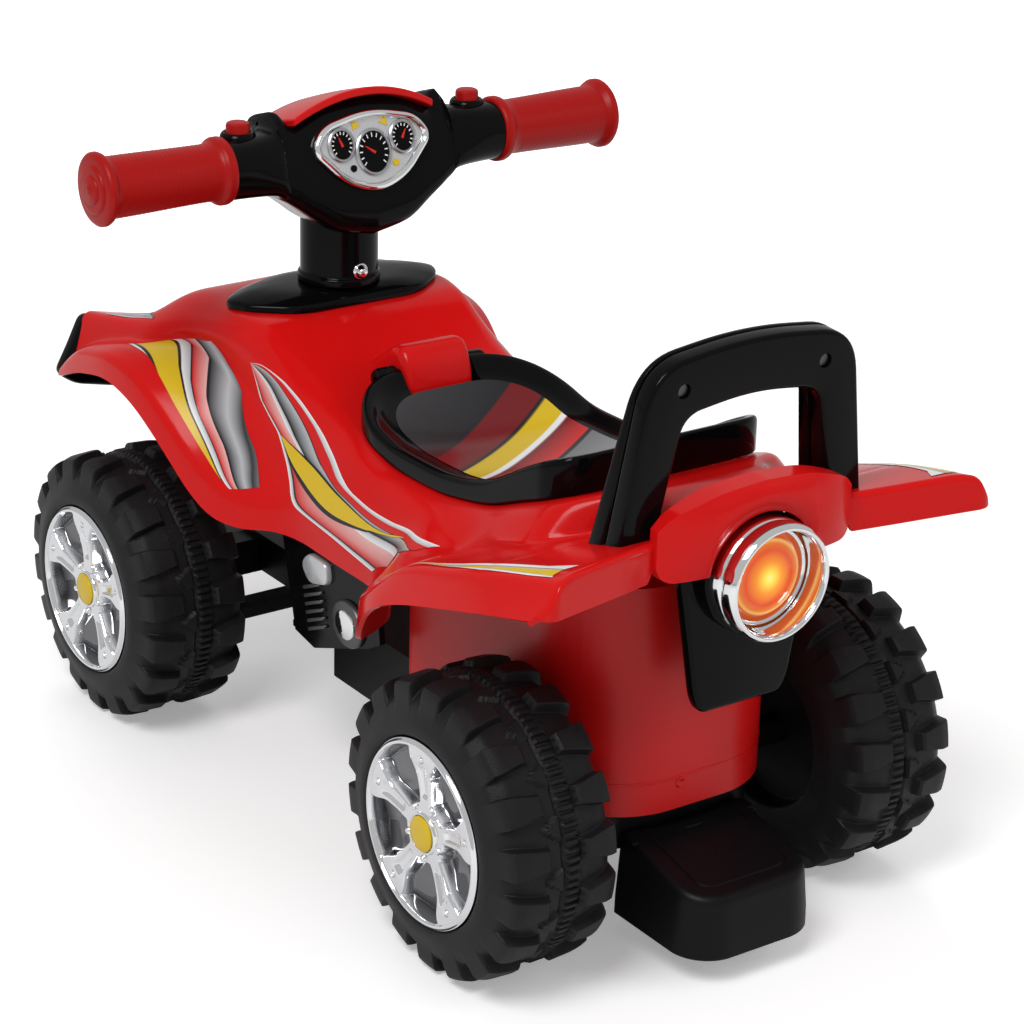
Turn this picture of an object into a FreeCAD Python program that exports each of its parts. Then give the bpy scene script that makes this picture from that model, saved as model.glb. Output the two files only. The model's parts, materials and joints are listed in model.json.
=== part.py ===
import FreeCAD, Part
import math
import os
from types import SimpleNamespace

import Sketcher
from FreeCAD import Placement, Rotation, Vector

# Kids quad bike: +Y is forward, +X the rider's right, +Z up, origin on the ground in the middle

# Driving sizes in millimetres, with degrees for angles and plain numbers for counts
SIZES = (
    # Whole object
    ("overall_length", 612, "front bumper to tail lamp"),
    ("wheelbase", 400, "front axle to rear axle"),
    ("track_width", 320, "outer face to outer face of the tyres"),
    ("running_clearance", 0.06, "radial gap between a shaft and what turns on it"),
    ("seat_clearance", 0.3, "gap between a moving piece and what carries it"),
    ("fixed_clearance", 0.04, "radial gap between a shaft and what holds it still"),
    ("overrun", 5, "how far a cutting solid runs past the face that it cuts"),
    # Wheels
    ("wheel_radius", 88, "axle to the top of a tread lug"),
    ("tyre_width", 78, "inner face to outer face"),
    ("tyre_wall", 3, "thickness of the moulded tyre"),
    ("lug_height", 6, "tread lug above the tread"),
    ("lug_count", 18, "lugs on each shoulder"),
    ("lug_width", 17, "lug across the direction of the axle"),
    ("lug_length", 25, "lug along the axle"),
    ("shoulder_width", 6, "bevelled shoulder along the axle"),
    ("shoulder_drop", 10, "bevelled shoulder towards the axle"),
    ("recess_radius", 46, "recess in the inner face that takes the steering knuckle"),
    ("recess_depth", 12, "depth of that recess"),
    ("hub_radius", 11, "hub tube round the axle"),
    ("hub_end_inset", 20, "outer end of the hub tube, in from the outer face"),
    ("cap_radius", 55, "chrome hub cap"),
    ("cap_wall", 2, "thickness of the hub cap"),
    ("cap_depth", 13, "skirt of the hub cap inside the tyre"),
    ("cap_proud", 2, "rim of the hub cap outside the tyre"),
    ("cap_rim_width", 8, "flat rim of the hub cap"),
    ("cap_dish_depth", 8, "dish of the hub cap below its rim"),
    ("cap_boss_radius", 16, "raised middle of the hub cap"),
    ("spoke_count", 5, "spokes of the hub cap"),
    ("spoke_width", 13, "width of a spoke"),
    ("axle_radius", 5, "steel axles"),
    ("retainer_radius", 10, "push nut on an axle's end"),
    ("retainer_width", 3, "thickness of a push nut"),
    ("axle_end_reach", 2, "axle past its push nut"),
    # Under-frame and front axle
    ("chassis_half_width", 58, "rear half of the under-frame"),
    ("chassis_rear_radius", 18, "rear corners of the under-frame, inside the tub's round corners"),
    ("chassis_front_radius", 6, "corners of the under-frame at its waist"),
    ("chassis_front_half_width", 34, "front half of the under-frame, between the steered wheels"),
    ("chassis_rear_gap", 28, "under-frame's rear end behind the rear axle"),
    ("chassis_front_reach", 62, "under-frame's front end ahead of the front axle"),
    ("chassis_waist", 60, "where the wide half meets the narrow half, ahead of the middle"),
    ("chassis_top_above_axle", 16, "top of the under-frame above the axles"),
    ("chassis_plate", 4, "walls and top plate of the under-frame"),
    ("chassis_rear_depth", 46, "height of the rear half"),
    ("chassis_front_depth", 26, "height of the front half"),
    ("beam_half_depth", 9, "front axle beam, front to back"),
    ("beam_half_height", 12, "front axle beam, up and down"),
    ("kingpin_inset", 14, "kingpin inside the tyre's inner face"),
    ("kingpin_radius", 4, "kingpin"),
    ("kingpin_head_radius", 7, "head of the kingpin"),
    ("kingpin_head_height", 2.5, "head of the kingpin"),
    ("beam_end_radius", 8.5, "rounded end of the beam round the kingpin"),
    ("knuckle_lug_height", 8, "each lug of the knuckle"),
    ("knuckle_half_depth", 10, "knuckle, front to back"),
    ("knuckle_web_gap", 9, "kingpin to the knuckle's upright web"),
    ("knuckle_web", 7, "thickness of that web"),
    ("knuckle_boss_radius", 9, "boss that carries the stub axle"),
    ("arm_length", 28, "steering arms, and the crank, centre to centre"),
    ("arm_half_width", 7, "steering arms and the crank"),
    ("arm_pin_radius", 4, "pins of the steering arms and the crank"),
    ("arm_pin_head_radius", 9.5, "washer heads of those pins"),
    ("arm_pin_head_height", 3, "washer heads of those pins"),
    ("tie_rod_height", 8, "thickness of the tie rod"),
    ("tie_rod_drop", 2, "tie rod below the knuckle arms"),
    ("tie_rod_half_width", 9, "width of the tie rod's bar and tongue"),
    ("tie_slot_side_gap", 0.6, "slots of the tie rod, across"),
    ("tie_slot_end_gap", 3.4, "slots of the tie rod, front to back"),
    # Steering column
    ("column_forward", 144, "steering axis ahead of the middle"),
    ("steering_rod_radius", 6, "steel rod inside the neck"),
    ("crank_drop", 28, "crank below the top of the under-frame"),
    ("crank_height", 6, "thickness of the crank"),
    ("bush_radius", 11, "bush of the steering rod"),
    ("bush_flange_radius", 16, "flange of that bush"),
    ("bush_flange_height", 3, "flange of that bush"),
    ("rod_collar_radius", 10, "collar of the rod that rests on the bush"),
    ("rod_collar_height", 5, "collar of the rod that rests on the bush"),
    ("neck_radius", 25, "black steering neck"),
    ("neck_height", 44, "neck above the bezel"),
    ("neck_cover", 5, "closed top of the neck above the rod"),
    ("neck_bolt_radius", 2.5, "bolt through the neck and the rod"),
    ("neck_bolt_head_radius", 5, "head of that bolt"),
    ("neck_bolt_head_height", 3, "head of that bolt"),
    ("neck_bolt_rise", 11, "bolt above the bottom of the neck"),
    ("bezel_height", 10, "black plate at the foot of the neck"),
    ("bezel_half_width", 79, "plate at the foot of the neck"),
    ("bezel_half_depth", 34, "plate at the foot of the neck"),
    ("bezel_forward", 5, "middle of the plate ahead of the steering axis"),
    # Handlebar
    ("bar_half_width", 190, "end of a grip"),
    ("grip_inner_end", 98, "inner end of a grip"),
    ("bar_rise", 46, "grips above the top of the neck"),
    ("bar_back", 25, "grips behind the steering axis"),
    ("grip_radius", 18, "grip"),
    ("grip_flange_radius", 22.5, "flange at the outer end of a grip"),
    ("grip_collar_radius", 21, "collar at the inner end of a grip"),
    ("grip_flange_width", 12, "flange and collar along the grip"),
    ("grip_end_wall", 8, "closed end of a grip"),
    ("spigot_radius", 11, "spigot of the housing inside a grip"),
    ("spigot_end_gap", 2, "end of the spigot short of the grip's end wall"),
    ("housing_height", 88, "handlebar housing, from the top of the neck"),
    ("housing_back", 44, "rear face of the housing behind the steering axis"),
    ("housing_front", 28, "front face of the housing ahead of the steering axis"),
    ("housing_split", 4, "joint of the two covers behind the steering axis"),
    ("housing_wall", 3, "walls of the housing"),
    ("housing_core_half_width", 60, "part of the housing that reaches the front face"),
    ("gauge_tilt", 16, "lean of the dial plate, in degrees"),
    ("gauge_half_width", 45, "dial plate with its bezel"),
    ("gauge_length", 54, "dial plate with its bezel, up the slope"),
    ("gauge_foot", 22, "foot of the dial plate above the top of the neck"),
    ("gauge_bezel_width", 5, "chrome bezel"),
    ("gauge_bezel_height", 6, "chrome bezel"),
    ("gauge_plate", 3, "dial plate"),
    ("cowl_wall", 4, "red cowl over the housing"),
    ("button_place", 84, "button from the middle"),
    ("button_radius", 7.5, "sound button"),
    ("button_flange_radius", 9, "flange that keeps a button in"),
    ("button_flange_height", 2.5, "flange that keeps a button in"),
    ("button_proud", 9, "button above the housing"),
    ("button_gap", 0.4, "button to its hole"),
    ("spring_radius", 5, "button spring"),
    ("spring_wall", 1, "button spring"),
    ("board_half_width", 30, "sound board"),
    ("board_height", 34, "sound board"),
    ("board_thickness", 1.6, "sound board"),
    ("board_rise", 22, "foot of the sound board above the top of the neck"),
    ("post_radius", 3, "posts that carry the sound board"),
    ("speaker_radius", 16, "speaker"),
    ("speaker_depth", 9, "speaker"),
    ("speaker_rise", 20, "middle of the speaker above the top of the neck"),
    ("battery_radius", 7, "cells"),
    ("battery_length", 50, "cells"),
    ("battery_rise", 45, "lower cell above the top of the neck"),
    ("door_half_width", 30, "battery door"),
    ("door_height", 34, "battery door"),
    ("door_gap", 0.3, "battery door to its opening"),
    ("screw_radius", 1.8, "screws"),
    ("screw_head_radius", 3.6, "heads of screws"),
    ("screw_head_height", 2.2, "heads of screws"),
    ("screw_grip", 9, "length of a screw in what it holds"),
    # Red shell, tub and seat
    ("tank_height", 280, "top of the tank above the ground"),
    ("fender_half_width", 156, "edge of the rear fenders"),
    ("shell_wall", 3, "thickness of the red shell"),
    ("shell_tail_inset", 28, "rear end of the shell's middle, in front of the tail lamp's face"),
    ("tail_half_width", 67, "middle of the shell's rear end"),
    ("tail_lip", 25, "lip that closes the rear fenders behind, up and down"),
    ("tail_panel", 6, "thickness of the rear panel"),
    ("tail_panel_height", 43, "rear panel, from its lower edge to its crown"),
    ("tail_panel_drop", 36, "lower edge of the rear panel below the top of the tank"),
    ("rod_hole_gap", 3, "hole of the tank round the steering rod"),
    ("tub_half_width", 74, "storage tub"),
    ("tub_tail_inset", 64, "tub's rear wall in front of the tail lamp's face"),
    ("tub_front", 46, "tub's front wall behind the middle"),
    ("tub_bottom", 82, "lower edge of the tub above the ground"),
    ("tub_drop", 58, "upper face of the tub below the top of the tank"),
    ("tub_wall", 3, "walls of the tub"),
    ("tub_rear_radius", 55, "rear corners of the tub"),
    ("tub_front_radius", 14, "front corners of the tub"),
    ("tub_axle_gap", 4, "notch of the tub round the rear axle"),
    ("hatch_half_width", 60, "hatch under the seat"),
    ("hatch_front", 50, "front edge of the hatch behind the middle"),
    ("hatch_tail_inset", 118, "rear edge of the hatch in front of the tail lamp's face"),
    ("hatch_radius", 22, "corners of the hatch"),
    ("collar_wall", 3, "collar of the shell round the hatch"),
    ("seat_half_width", 74, "seat"),
    ("seat_front", 36, "front edge of the seat ahead of the middle"),
    ("seat_tail_inset", 101, "rear edge of the seat in front of the tail lamp's face"),
    ("seat_front_radius", 52, "front corners of the seat"),
    ("seat_rear_radius", 18, "rear corners of the seat"),
    ("seat_rest_gap", 0.4, "closed seat above the shell"),
    ("seat_plate", 3.5, "floor of the seat"),
    ("seat_rim_width", 9, "raised rim of the seat"),
    ("seat_rim_height", 13, "rim of the seat above the shell"),
    ("seat_lip_height", 22, "rear lip of the seat above the shell"),
    ("seat_lip_depth", 26, "rear lip of the seat, front to back"),
    ("hinge_forward", 38, "seat hinge ahead of the middle"),
    ("hinge_rise", 9.7, "seat hinge above the shell"),
    ("hinge_pin_radius", 2.5, "seat hinge pin"),
    ("hinge_lug_radius", 7.5, "lugs of the seat round the pin"),
    ("hinge_lug_length", 14, "each lug along the pin"),
    ("block_half_width", 24, "red block over the hinge"),
    ("block_rear", 24, "rear foot of the block ahead of the middle"),
    ("block_front", 60, "front end of the block ahead of the middle"),
    ("block_rise", 17, "top of the block above the hinge"),
    ("block_side_gap", 1.5, "seat beside the block"),
    ("block_sweep_gap", 6.5, "seat behind the block, so that it swings clear"),
    # Panels, fascia, lamp, handle and step
    ("panel_inner", 86, "inner face of an engine panel from the middle"),
    ("panel_thickness", 4, "engine panel"),
    ("panel_front", 66, "front edge of an engine panel ahead of the middle"),
    ("panel_rear", 48, "rear edge of an engine panel behind the middle"),
    ("panel_drop", 116, "top of an engine panel below the top of the tank"),
    ("panel_sill", 8, "bottom of an engine panel below the top of the under-frame"),
    ("fascia_thickness", 10, "black front panel"),
    ("fascia_half_width", 127, "black front panel"),
    ("fascia_drop", 104, "lower edge of the front panel below the top of the tank"),
    ("bumper_half_width", 62, "raised middle of the front panel"),
    ("bumper_height", 30, "raised middle of the front panel"),
    ("lamp_drop", 40, "middle of the tail lamp below the top of the tank"),
    ("lamp_radius", 34, "chrome ring of the tail lamp"),
    ("lamp_ring_wall", 5, "chrome ring of the tail lamp"),
    ("lamp_ring_depth", 21, "chrome ring of the tail lamp"),
    ("lens_depth", 8, "amber lens"),
    ("lens_gap", 0.3, "lens inside its ring"),
    ("arch_gap", 4, "rear panel round the lamp"),
    ("bracket_half_width", 46, "black plate that carries the lamp, at its top"),
    ("bracket_foot_half_width", 34, "that plate at its foot"),
    ("bracket_height", 104, "that plate from its foot to its top"),
    ("bracket_drop", 16, "top of that plate below the top of the tank"),
    ("bracket_thickness", 6, "that plate"),
    ("handle_tail_inset", 51, "middle of the handle's foot in front of the tail lamp's face"),
    ("handle_half_width", 90, "outside of the handle's feet"),
    ("handle_leg", 36, "width of a leg at its foot"),
    ("handle_bar", 37, "height of the top bar"),
    ("handle_rise", 114, "top of the handle above the deck"),
    ("handle_sink", 19, "how far the legs start below the deck, which trims them"),
    ("handle_half_depth", 15, "half of the handle, front to back"),
    ("handle_lean", 4, "handle leans back, in degrees"),
    ("handle_screw_place", 48, "handle screws from the middle"),
    ("handle_screw_drop", 27, "handle screws below the top of the handle"),
    ("step_half_width", 46, "rear foot"),
    ("step_bottom", 18, "lower edge of the foot above the ground"),
    ("step_top", 70, "front of the foot's tread above the ground"),
    ("step_rear_top", 52, "rear of the foot's tread above the ground"),
    ("step_wall", 3.5, "walls of the foot"),
    ("step_tab", 40, "tab of the foot under the under-frame"),
)

# Half sections of the red shell from front to rear. The first number is a share of half the
# overall length. Each pair is a share of the fender half width and of the tank height, from the
# middle line over the shoulder, flank and fender top to the fold and the lower edge of the lip.
SHELL_SECTION_SHARES = (
    (0.948, ((0, 0.893), (0.449, 0.889), (0.692, 0.871), (0.718, 0.829),
             (0.795, 0.800), (0.821, 0.779), (0.827, 0.732))),
    (0.817, ((0, 0.936), (0.449, 0.929), (0.686, 0.896), (0.712, 0.857),
             (0.795, 0.854), (0.853, 0.843), (0.859, 0.782))),
    (0.670, ((0, 1.000), (0.423, 1.000), (0.667, 0.921), (0.692, 0.886),
             (0.795, 0.882), (0.872, 0.868), (0.878, 0.811))),
    (0.588, ((0, 1.000), (0.462, 1.000), (0.590, 0.943), (0.577, 0.907),
             (0.756, 0.889), (0.865, 0.857), (0.872, 0.793))),
    (0.461, ((0, 1.000), (0.513, 1.000), (0.551, 0.957), (0.551, 0.879),
             (0.718, 0.829), (0.827, 0.786), (0.833, 0.725))),
    (0.379, ((0, 1.000), (0.474, 1.000), (0.526, 0.957), (0.545, 0.850),
             (0.654, 0.786), (0.782, 0.732), (0.795, 0.671))),
    (0.310, ((0, 0.964), (0.462, 0.964), (0.513, 0.929), (0.551, 0.832),
             (0.622, 0.761), (0.750, 0.704), (0.776, 0.646))),
    (0.245, ((0, 0.932), (0.449, 0.932), (0.513, 0.900), (0.564, 0.818),
             (0.609, 0.739), (0.699, 0.668), (0.718, 0.611))),
    (0.190, ((0, 0.911), (0.436, 0.911), (0.506, 0.882), (0.571, 0.804),
             (0.603, 0.725), (0.647, 0.650), (0.660, 0.596))),
    (0.098, ((0, 0.882), (0.449, 0.882), (0.513, 0.857), (0.571, 0.775),
             (0.596, 0.707), (0.609, 0.643), (0.609, 0.593))),
    (-0.033, ((0, 0.850), (0.487, 0.850), (0.538, 0.829), (0.577, 0.754),
             (0.596, 0.696), (0.609, 0.639), (0.609, 0.589))),
    (-0.131, ((0, 0.829), (0.494, 0.829), (0.545, 0.811), (0.583, 0.739),
             (0.603, 0.689), (0.609, 0.636), (0.609, 0.589))),
    (-0.278, ((0, 0.832), (0.494, 0.832), (0.551, 0.807), (0.615, 0.750),
             (0.654, 0.700), (0.686, 0.650), (0.692, 0.582))),
    (-0.337, ((0, 0.843), (0.494, 0.843), (0.577, 0.793), (0.692, 0.754),
             (0.833, 0.711), (0.904, 0.679), (0.917, 0.582))),
    (-0.431, ((0, 0.864), (0.494, 0.864), (0.590, 0.782), (0.718, 0.771),
             (0.872, 0.761), (0.962, 0.746), (0.987, 0.700))),
    (-0.539, ((0, 0.911), (0.494, 0.911), (0.603, 0.839), (0.731, 0.839),
             (0.885, 0.839), (0.968, 0.832), (0.994, 0.757))),
    (-0.670, ((0, 0.964), (0.487, 0.964), (0.609, 0.886), (0.731, 0.886),
             (0.885, 0.886), (0.971, 0.880), (1.000, 0.804))),
    (-0.768, ((0, 0.996), (0.276, 0.996), (0.301, 0.921), (0.609, 0.921),
             (0.885, 0.921), (0.974, 0.916), (1.000, 0.836))),
    (-1.000, ((0, 1.018), (0.276, 0.996), (0.301, 0.986), (0.609, 0.986),
             (0.885, 0.986), (0.974, 0.980), (1.000, 0.911))),
)

# What the lines of the shell's half sections are called, from the middle outwards
SHELL_LINES = ("crown", "platform", "shoulder", "deck", "fender", "rim", "hem")

# Half outline of the handlebar housing seen from behind: shares of the grips' inner end and of the
# housing's height above the neck, from the middle of its foot round to the middle of its top
HOUSING_OUTLINE_SHARES = (
    (0.30, 0.000), (0.63, 0.180), (1.00, 0.318), (1.00, 0.727), (0.77, 0.727),
    (0.74, 0.875), (0.60, 0.886), (0.54, 0.830), (0.31, 0.943), (0.00, 1.000),
)
COWL_OUTLINE_SHARES = ((0.54, 0.830), (0.31, 0.943), (0.00, 1.000))

# Half outline of the dial plate, shares of its half width and of its length up the slope
GAUGE_OUTLINE_SHARES = ((0.00, 0.00), (0.50, 0.14), (1.00, 0.58), (0.76, 0.86), (0.00, 1.00))

# Half outline of the plate at the foot of the neck, shares of its half width and half depth
BEZEL_OUTLINE_SHARES = (
    (0.00, -0.95), (0.57, -0.95), (0.91, -0.30), (1.00, 0.15), (0.80, 0.60), (0.45, 0.95), (0.00, 1.00),
)
BEZEL_TOP_SHARE = 0.86
BEZEL_WALL_SHARE = 0.4

# Half outline of the front panel, shares of its half width and of the rise from its foot to the hood
FASCIA_OUTLINE_SHARES = (
    (0.55, 0.00), (0.90, 0.06), (1.00, 0.42), (0.88, 0.76), (0.84, 0.92), (0.55, 0.96), (0.00, 0.97),
)

# Half outline of the handle, shares of its half width and of its height above its foot
HANDLE_OUTER_SHARES = ((1.00, 0.00), (0.73, 0.86), (0.62, 0.95), (0.42, 0.985), (0.00, 1.00))

# Half outline of the red rear panel, shares of its half width and height
TAIL_PANEL_SHARES = ((1.00, 0.00), (1.00, 0.62), (0.75, 0.84), (0.40, 0.96), (0.00, 1.00))

# Half outline of the lamp bracket: the first two shares are of its foot, the rest of its top
BRACKET_FOOT_SHARES = ((0.60, 0.00), (1.00, 0.10))
BRACKET_TOP_SHARES = ((1.00, 0.80), (1.00, 1.00))

# Dome of the lamp lens, shares of its depth and of its radius
LENS_SHARES = ((1.00, 0.00), (0.85, 0.50), (0.50, 0.85), (0.25, 1.00), (0.00, 1.00))

# Top of the hinge block seen from the side, shares of its rise, rear corner first
BLOCK_REAR_SHARES = ((0.0, -0.70), (0.3, 0.20))
BLOCK_MIDDLE_SHARE = (-0.1, 0.55)

# Opening of the dial bezel, its side walls as a share of its top and bottom walls
BEZEL_SIDE_SHARE = 1.3
COWL_FLARE_SHARES = (0.6, 0.3, 0)

# Side outline of an engine panel, shares of its length from the rear and of its height
PANEL_OUTLINE_SHARES = ((0.00, 0.45), (0.12, 0.34), (0.66, 0.00), (0.86, 0.06), (1.00, 1.00), (0.04, 1.00))


class Size:
    """A size with its value and its formula on the sheet, so that one sum serves code and expressions."""

    def __init__(self, value, formula):
        self.value = float(value)
        self.formula = formula

    def __float__(self):
        return self.value

    def __neg__(self):
        return Size(-self.value, f"-({self.formula})")

    def __add__(self, other):
        other = as_size(other)
        return Size(self.value + other.value, f"({self.formula} + {other.formula})")

    def __sub__(self, other):
        other = as_size(other)
        return Size(self.value - other.value, f"({self.formula} - {other.formula})")

    def __mul__(self, other):
        other = as_size(other)
        return Size(self.value * other.value, f"({self.formula} * {other.formula})")

    def __truediv__(self, other):
        other = as_size(other)
        return Size(self.value / other.value, f"({self.formula} / {other.formula})")

    def __rsub__(self, other):
        return as_size(other) - self

    __radd__ = __add__
    __rmul__ = __mul__


def as_size(number):
    """A plain number as a size, so that sums can mix the two."""
    return number if isinstance(number, Size) else Size(number, f"({number})")


doc = FreeCAD.newDocument("kids_quad_bike")
sheet = doc.addObject("Spreadsheet::Sheet", "Sizes")
for row, (alias, value, meaning) in enumerate(SIZES, start=1):
    sheet.set(f"A{row}", alias)
    sheet.set(f"B{row}", str(value))
    sheet.set(f"C{row}", meaning)
    sheet.setAlias(f"B{row}", alias)
doc.recompute()
s = SimpleNamespace(**{alias: Size(sheet.get(alias), f"Sizes.{alias}") for alias, _, _ in SIZES})

# Places that several pieces share
front_axle = s.wheelbase / 2
rear_axle = -s.wheelbase / 2
axle_height = s.wheel_radius
tyre_inner = s.track_width / 2 - s.tyre_width
hub_start = tyre_inner + s.recess_depth
hub_end = s.track_width / 2 - s.hub_end_inset
axle_end = hub_end + s.seat_clearance + s.retainer_width + s.axle_end_reach
chassis_top = axle_height + s.chassis_top_above_axle
chassis_rear = rear_axle - s.chassis_rear_gap
chassis_front = front_axle + s.chassis_front_reach
kingpin_place = tyre_inner - s.kingpin_inset
lower_lug_top = axle_height - s.beam_half_height - s.seat_clearance
lower_lug_bottom = lower_lug_top - s.knuckle_lug_height
upper_lug_bottom = axle_height + s.beam_half_height + s.seat_clearance
tie_rod_top = lower_lug_bottom - s.tie_rod_drop
tie_rod_bottom = tie_rod_top - s.tie_rod_height
pin_head_top = tie_rod_bottom - s.seat_clearance
pin_head_bottom = pin_head_top - s.arm_pin_head_height
column_y = s.column_forward
crank_top = chassis_top - s.crank_drop
bezel_top = s.tank_height + s.bezel_height
neck_bottom = bezel_top + s.seat_clearance
neck_top = neck_bottom + s.neck_height
bar_y = column_y - s.bar_back
bar_z = neck_top + s.bar_rise
housing_rear_y = column_y - s.housing_back
housing_front_y = column_y + s.housing_front
housing_split_y = column_y - s.housing_split
cover_screw_place = s.housing_core_half_width + s.screw_head_radius * 2
tail_face = -s.overall_length / 2
lamp_ring_front = tail_face + s.lamp_ring_depth
shell_tail = tail_face + s.shell_tail_inset
tub_rear = tail_face + s.tub_tail_inset
tub_top = s.tank_height - s.tub_drop
hatch_rear = tail_face + s.hatch_tail_inset
seat_rear = tail_face + s.seat_tail_inset
lamp_z = s.tank_height - s.lamp_drop
fascia_back = s.overall_length / 2 * SHELL_SECTION_SHARES[0][0]
SIDES = (("left", -1), ("right", 1))
ALONG = {"x": Rotation(Vector(0, 1, 0), 90), "y": Rotation(Vector(1, 0, 0), -90), "z": Rotation()}
HALF_TURN = Rotation(Vector(0, 0, 1), 180)


def shell_rows():
    """The shell's sections in millimetres: (y, [(x, z), ...]) from front to rear."""
    return [
        (s.overall_length / 2 * along, [(s.fender_half_width * x, s.tank_height * z) for x, z in row])
        for along, row in SHELL_SECTION_SHARES
    ]


def shell_line(name, rise=0):
    """The height of one line of the shell along its length, as (y, z) corners from front to rear."""
    place = SHELL_LINES.index(name)
    return [(y, row[place][1] + rise) for y, row in shell_rows()]


def line_height(line, y):
    """The height of a line of (y, z) corners at one place."""
    for (front_y, front_z), (rear_y, rear_z) in zip(line, line[1:]):
        if float(rear_y) <= float(y) <= float(front_y):
            return front_z + (front_y - y) / (front_y - rear_y) * (rear_z - front_z)
    raise ValueError("outside the shell")


hinge_z = line_height(shell_line("platform"), s.hinge_forward) + s.hinge_rise
handle_y = tail_face + s.handle_tail_inset
handle_deck = line_height(shell_line("deck"), handle_y)
handle_foot = handle_deck - s.handle_sink
handle_top = handle_deck + s.handle_rise


def point(x, y, z):
    """A point from sizes or plain numbers."""
    return Vector(float(x), float(y), float(z))


def both(half):
    """The span from minus a half width to plus it."""
    return -half, half


def sided(side, low, high):
    """A span along X on the left or the right, in rising order."""
    return (low, high) if side > 0 else (-high, -low)


def bind(thing, **sizes):
    """Ties properties of an object to the sheet."""
    for name, value in sizes.items():
        thing.setExpression(name, value.formula)


def place(thing, x=0, y=0, z=0, rotation=Rotation()):
    """Turns an object, then ties its place to the sheet."""
    thing.Placement = Placement(Vector(), rotation)
    for axis, value in (("x", x), ("y", y), ("z", z)):
        if isinstance(value, Size):
            thing.setExpression(f"Placement.Base.{axis}", value.formula)


def block(name, x, y, z):
    """A box from its three spans."""
    thing = doc.addObject("Part::Box", name)
    bind(thing, Length=x[1] - x[0], Width=y[1] - y[0], Height=z[1] - z[0])
    place(thing, x[0], y[0], z[0])
    return thing


def bar(name, radius, axis, span, **centre):
    """A round bar along one axis, from its span on that axis and its place on the other two."""
    thing = doc.addObject("Part::Cylinder", name)
    bind(thing, Radius=radius, Height=span[1] - span[0])
    centre[axis] = span[0]
    place(thing, rotation=ALONG[axis], **centre)
    return thing


def fuse(name, *parts):
    """The union of several objects."""
    thing = doc.addObject("Part::MultiFuse", name)
    thing.Shapes = list(parts)
    return thing


def cut(name, base, *tools):
    """An object less one or more others."""
    thing = doc.addObject("Part::Cut", name)
    thing.Base = base
    thing.Tool = tools[0] if len(tools) == 1 else fuse(name + "_tools", *tools)
    return thing


def common(name, first, second):
    """What two objects share."""
    thing = doc.addObject("Part::Common", name)
    thing.Base = first
    thing.Tool = second
    return thing


def plane_of(body, role):
    """One of a body's own origin planes or axes."""
    return next(feature for feature in body.Origin.OriginFeatures if feature.Role == role)


def pin_corner(sketch, index, kind, axis, value):
    """Holds one coordinate of a sketch corner at a size, or on an axis where it is zero."""
    if not isinstance(value, Size):
        sketch.addConstraint(Sketcher.Constraint("PointOnObject", index, 1, axis))
        return
    number = sketch.addConstraint(Sketcher.Constraint(kind, -1, 1, index, 1, float(value)))
    sketch.setExpression(f"Constraints[{number}]", value.formula)


def outline(body, plane, corners, height=None):
    """A closed sketch of straight edges whose corners are tied to the sheet."""
    sketch = body.newObject("Sketcher::SketchObject", body.Name + "_outline")
    sketch.AttachmentSupport = (plane_of(body, plane), [""])
    sketch.MapMode = "FlatFace"
    if height is not None:
        sketch.setExpression("AttachmentOffset.Base.z", height.formula)
    following = corners[1:] + corners[:1]
    for here, there in zip(corners, following):
        sketch.addGeometry(Part.LineSegment(point(*here, 0), point(*there, 0)), False)
    for index in range(len(corners)):
        sketch.addConstraint(Sketcher.Constraint("Coincident", index, 2, (index + 1) % len(corners), 1))
    for index, (across, up) in enumerate(corners):
        pin_corner(sketch, index, "DistanceX", -2, across)
        pin_corner(sketch, index, "DistanceY", -1, up)
    return sketch


def padded(label, plane, corners, span):
    """A body padded from an outline on an origin plane, between two heights on that plane's normal."""
    low, high = as_size(span[0]), as_size(span[1])
    body = doc.addObject("PartDesign::Body", label)
    sketch = outline(body, plane, corners, -high if plane == "XZ_Plane" else low)
    pad = body.newObject("PartDesign::Pad", label + "_pad")
    pad.Profile = sketch
    bind(pad, Length=high - low)
    return body


def turned(label, axis, corners):
    """A body turned about one axis from corners given as distance along it and radius."""
    body = doc.addObject("PartDesign::Body", label)
    plane = {"x": "XY_Plane", "y": "XY_Plane", "z": "XZ_Plane"}[axis]
    if axis != "x":
        corners = [(radius, along) for along, radius in corners]
    sketch = outline(body, plane, corners)
    turn = body.newObject("PartDesign::Revolution", label + "_turn")
    turn.Profile = sketch
    turn.ReferenceAxis = (plane_of(body, axis.upper() + "_Axis"), [""])
    turn.Angle = 360
    return body


def ring_of_pads(body, plane, corners, span, axis, count):
    """Adds a padded outline to a body and repeats it round an axis."""
    sketch = outline(body, plane, corners, span[0])
    pad = body.newObject("PartDesign::Pad", body.Name + "_pad")
    pad.Profile = sketch
    bind(pad, Length=span[1] - span[0])
    doc.recompute()
    ring = body.newObject("PartDesign::PolarPattern", body.Name + "_ring")
    ring.Originals = [pad]
    ring.Axis = (plane_of(body, axis), [""])
    ring.Angle = 360
    bind(ring, Occurrences=count)
    body.Tip = ring


def mirrored_outline(shares, half_width, height, foot):
    """A closed outline from half an outline in shares of a half width and a height."""
    right = [(half_width * across, foot + height * up) for across, up in shares]
    left = [(-across, up) for across, up in reversed(right) if float(across) > 0]
    return [(across if float(across) > 0 else 0, up) for across, up in right] + left


def free_solid(name, shape):
    """An object of the document from a shape that sketches and primitives don't give."""
    thing = doc.addObject("Part::Feature", name)
    thing.Shape = shape
    return thing


def side_prism(name, corners, half_width):
    """A prism along X from a closed side outline of (y, z) corners."""
    wire = Part.makePolygon([point(-half_width, y, z) for y, z in corners + corners[:1]])
    return free_solid(name, Part.Face(wire).extrude(point(half_width * 2, 0, 0)))


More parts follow.
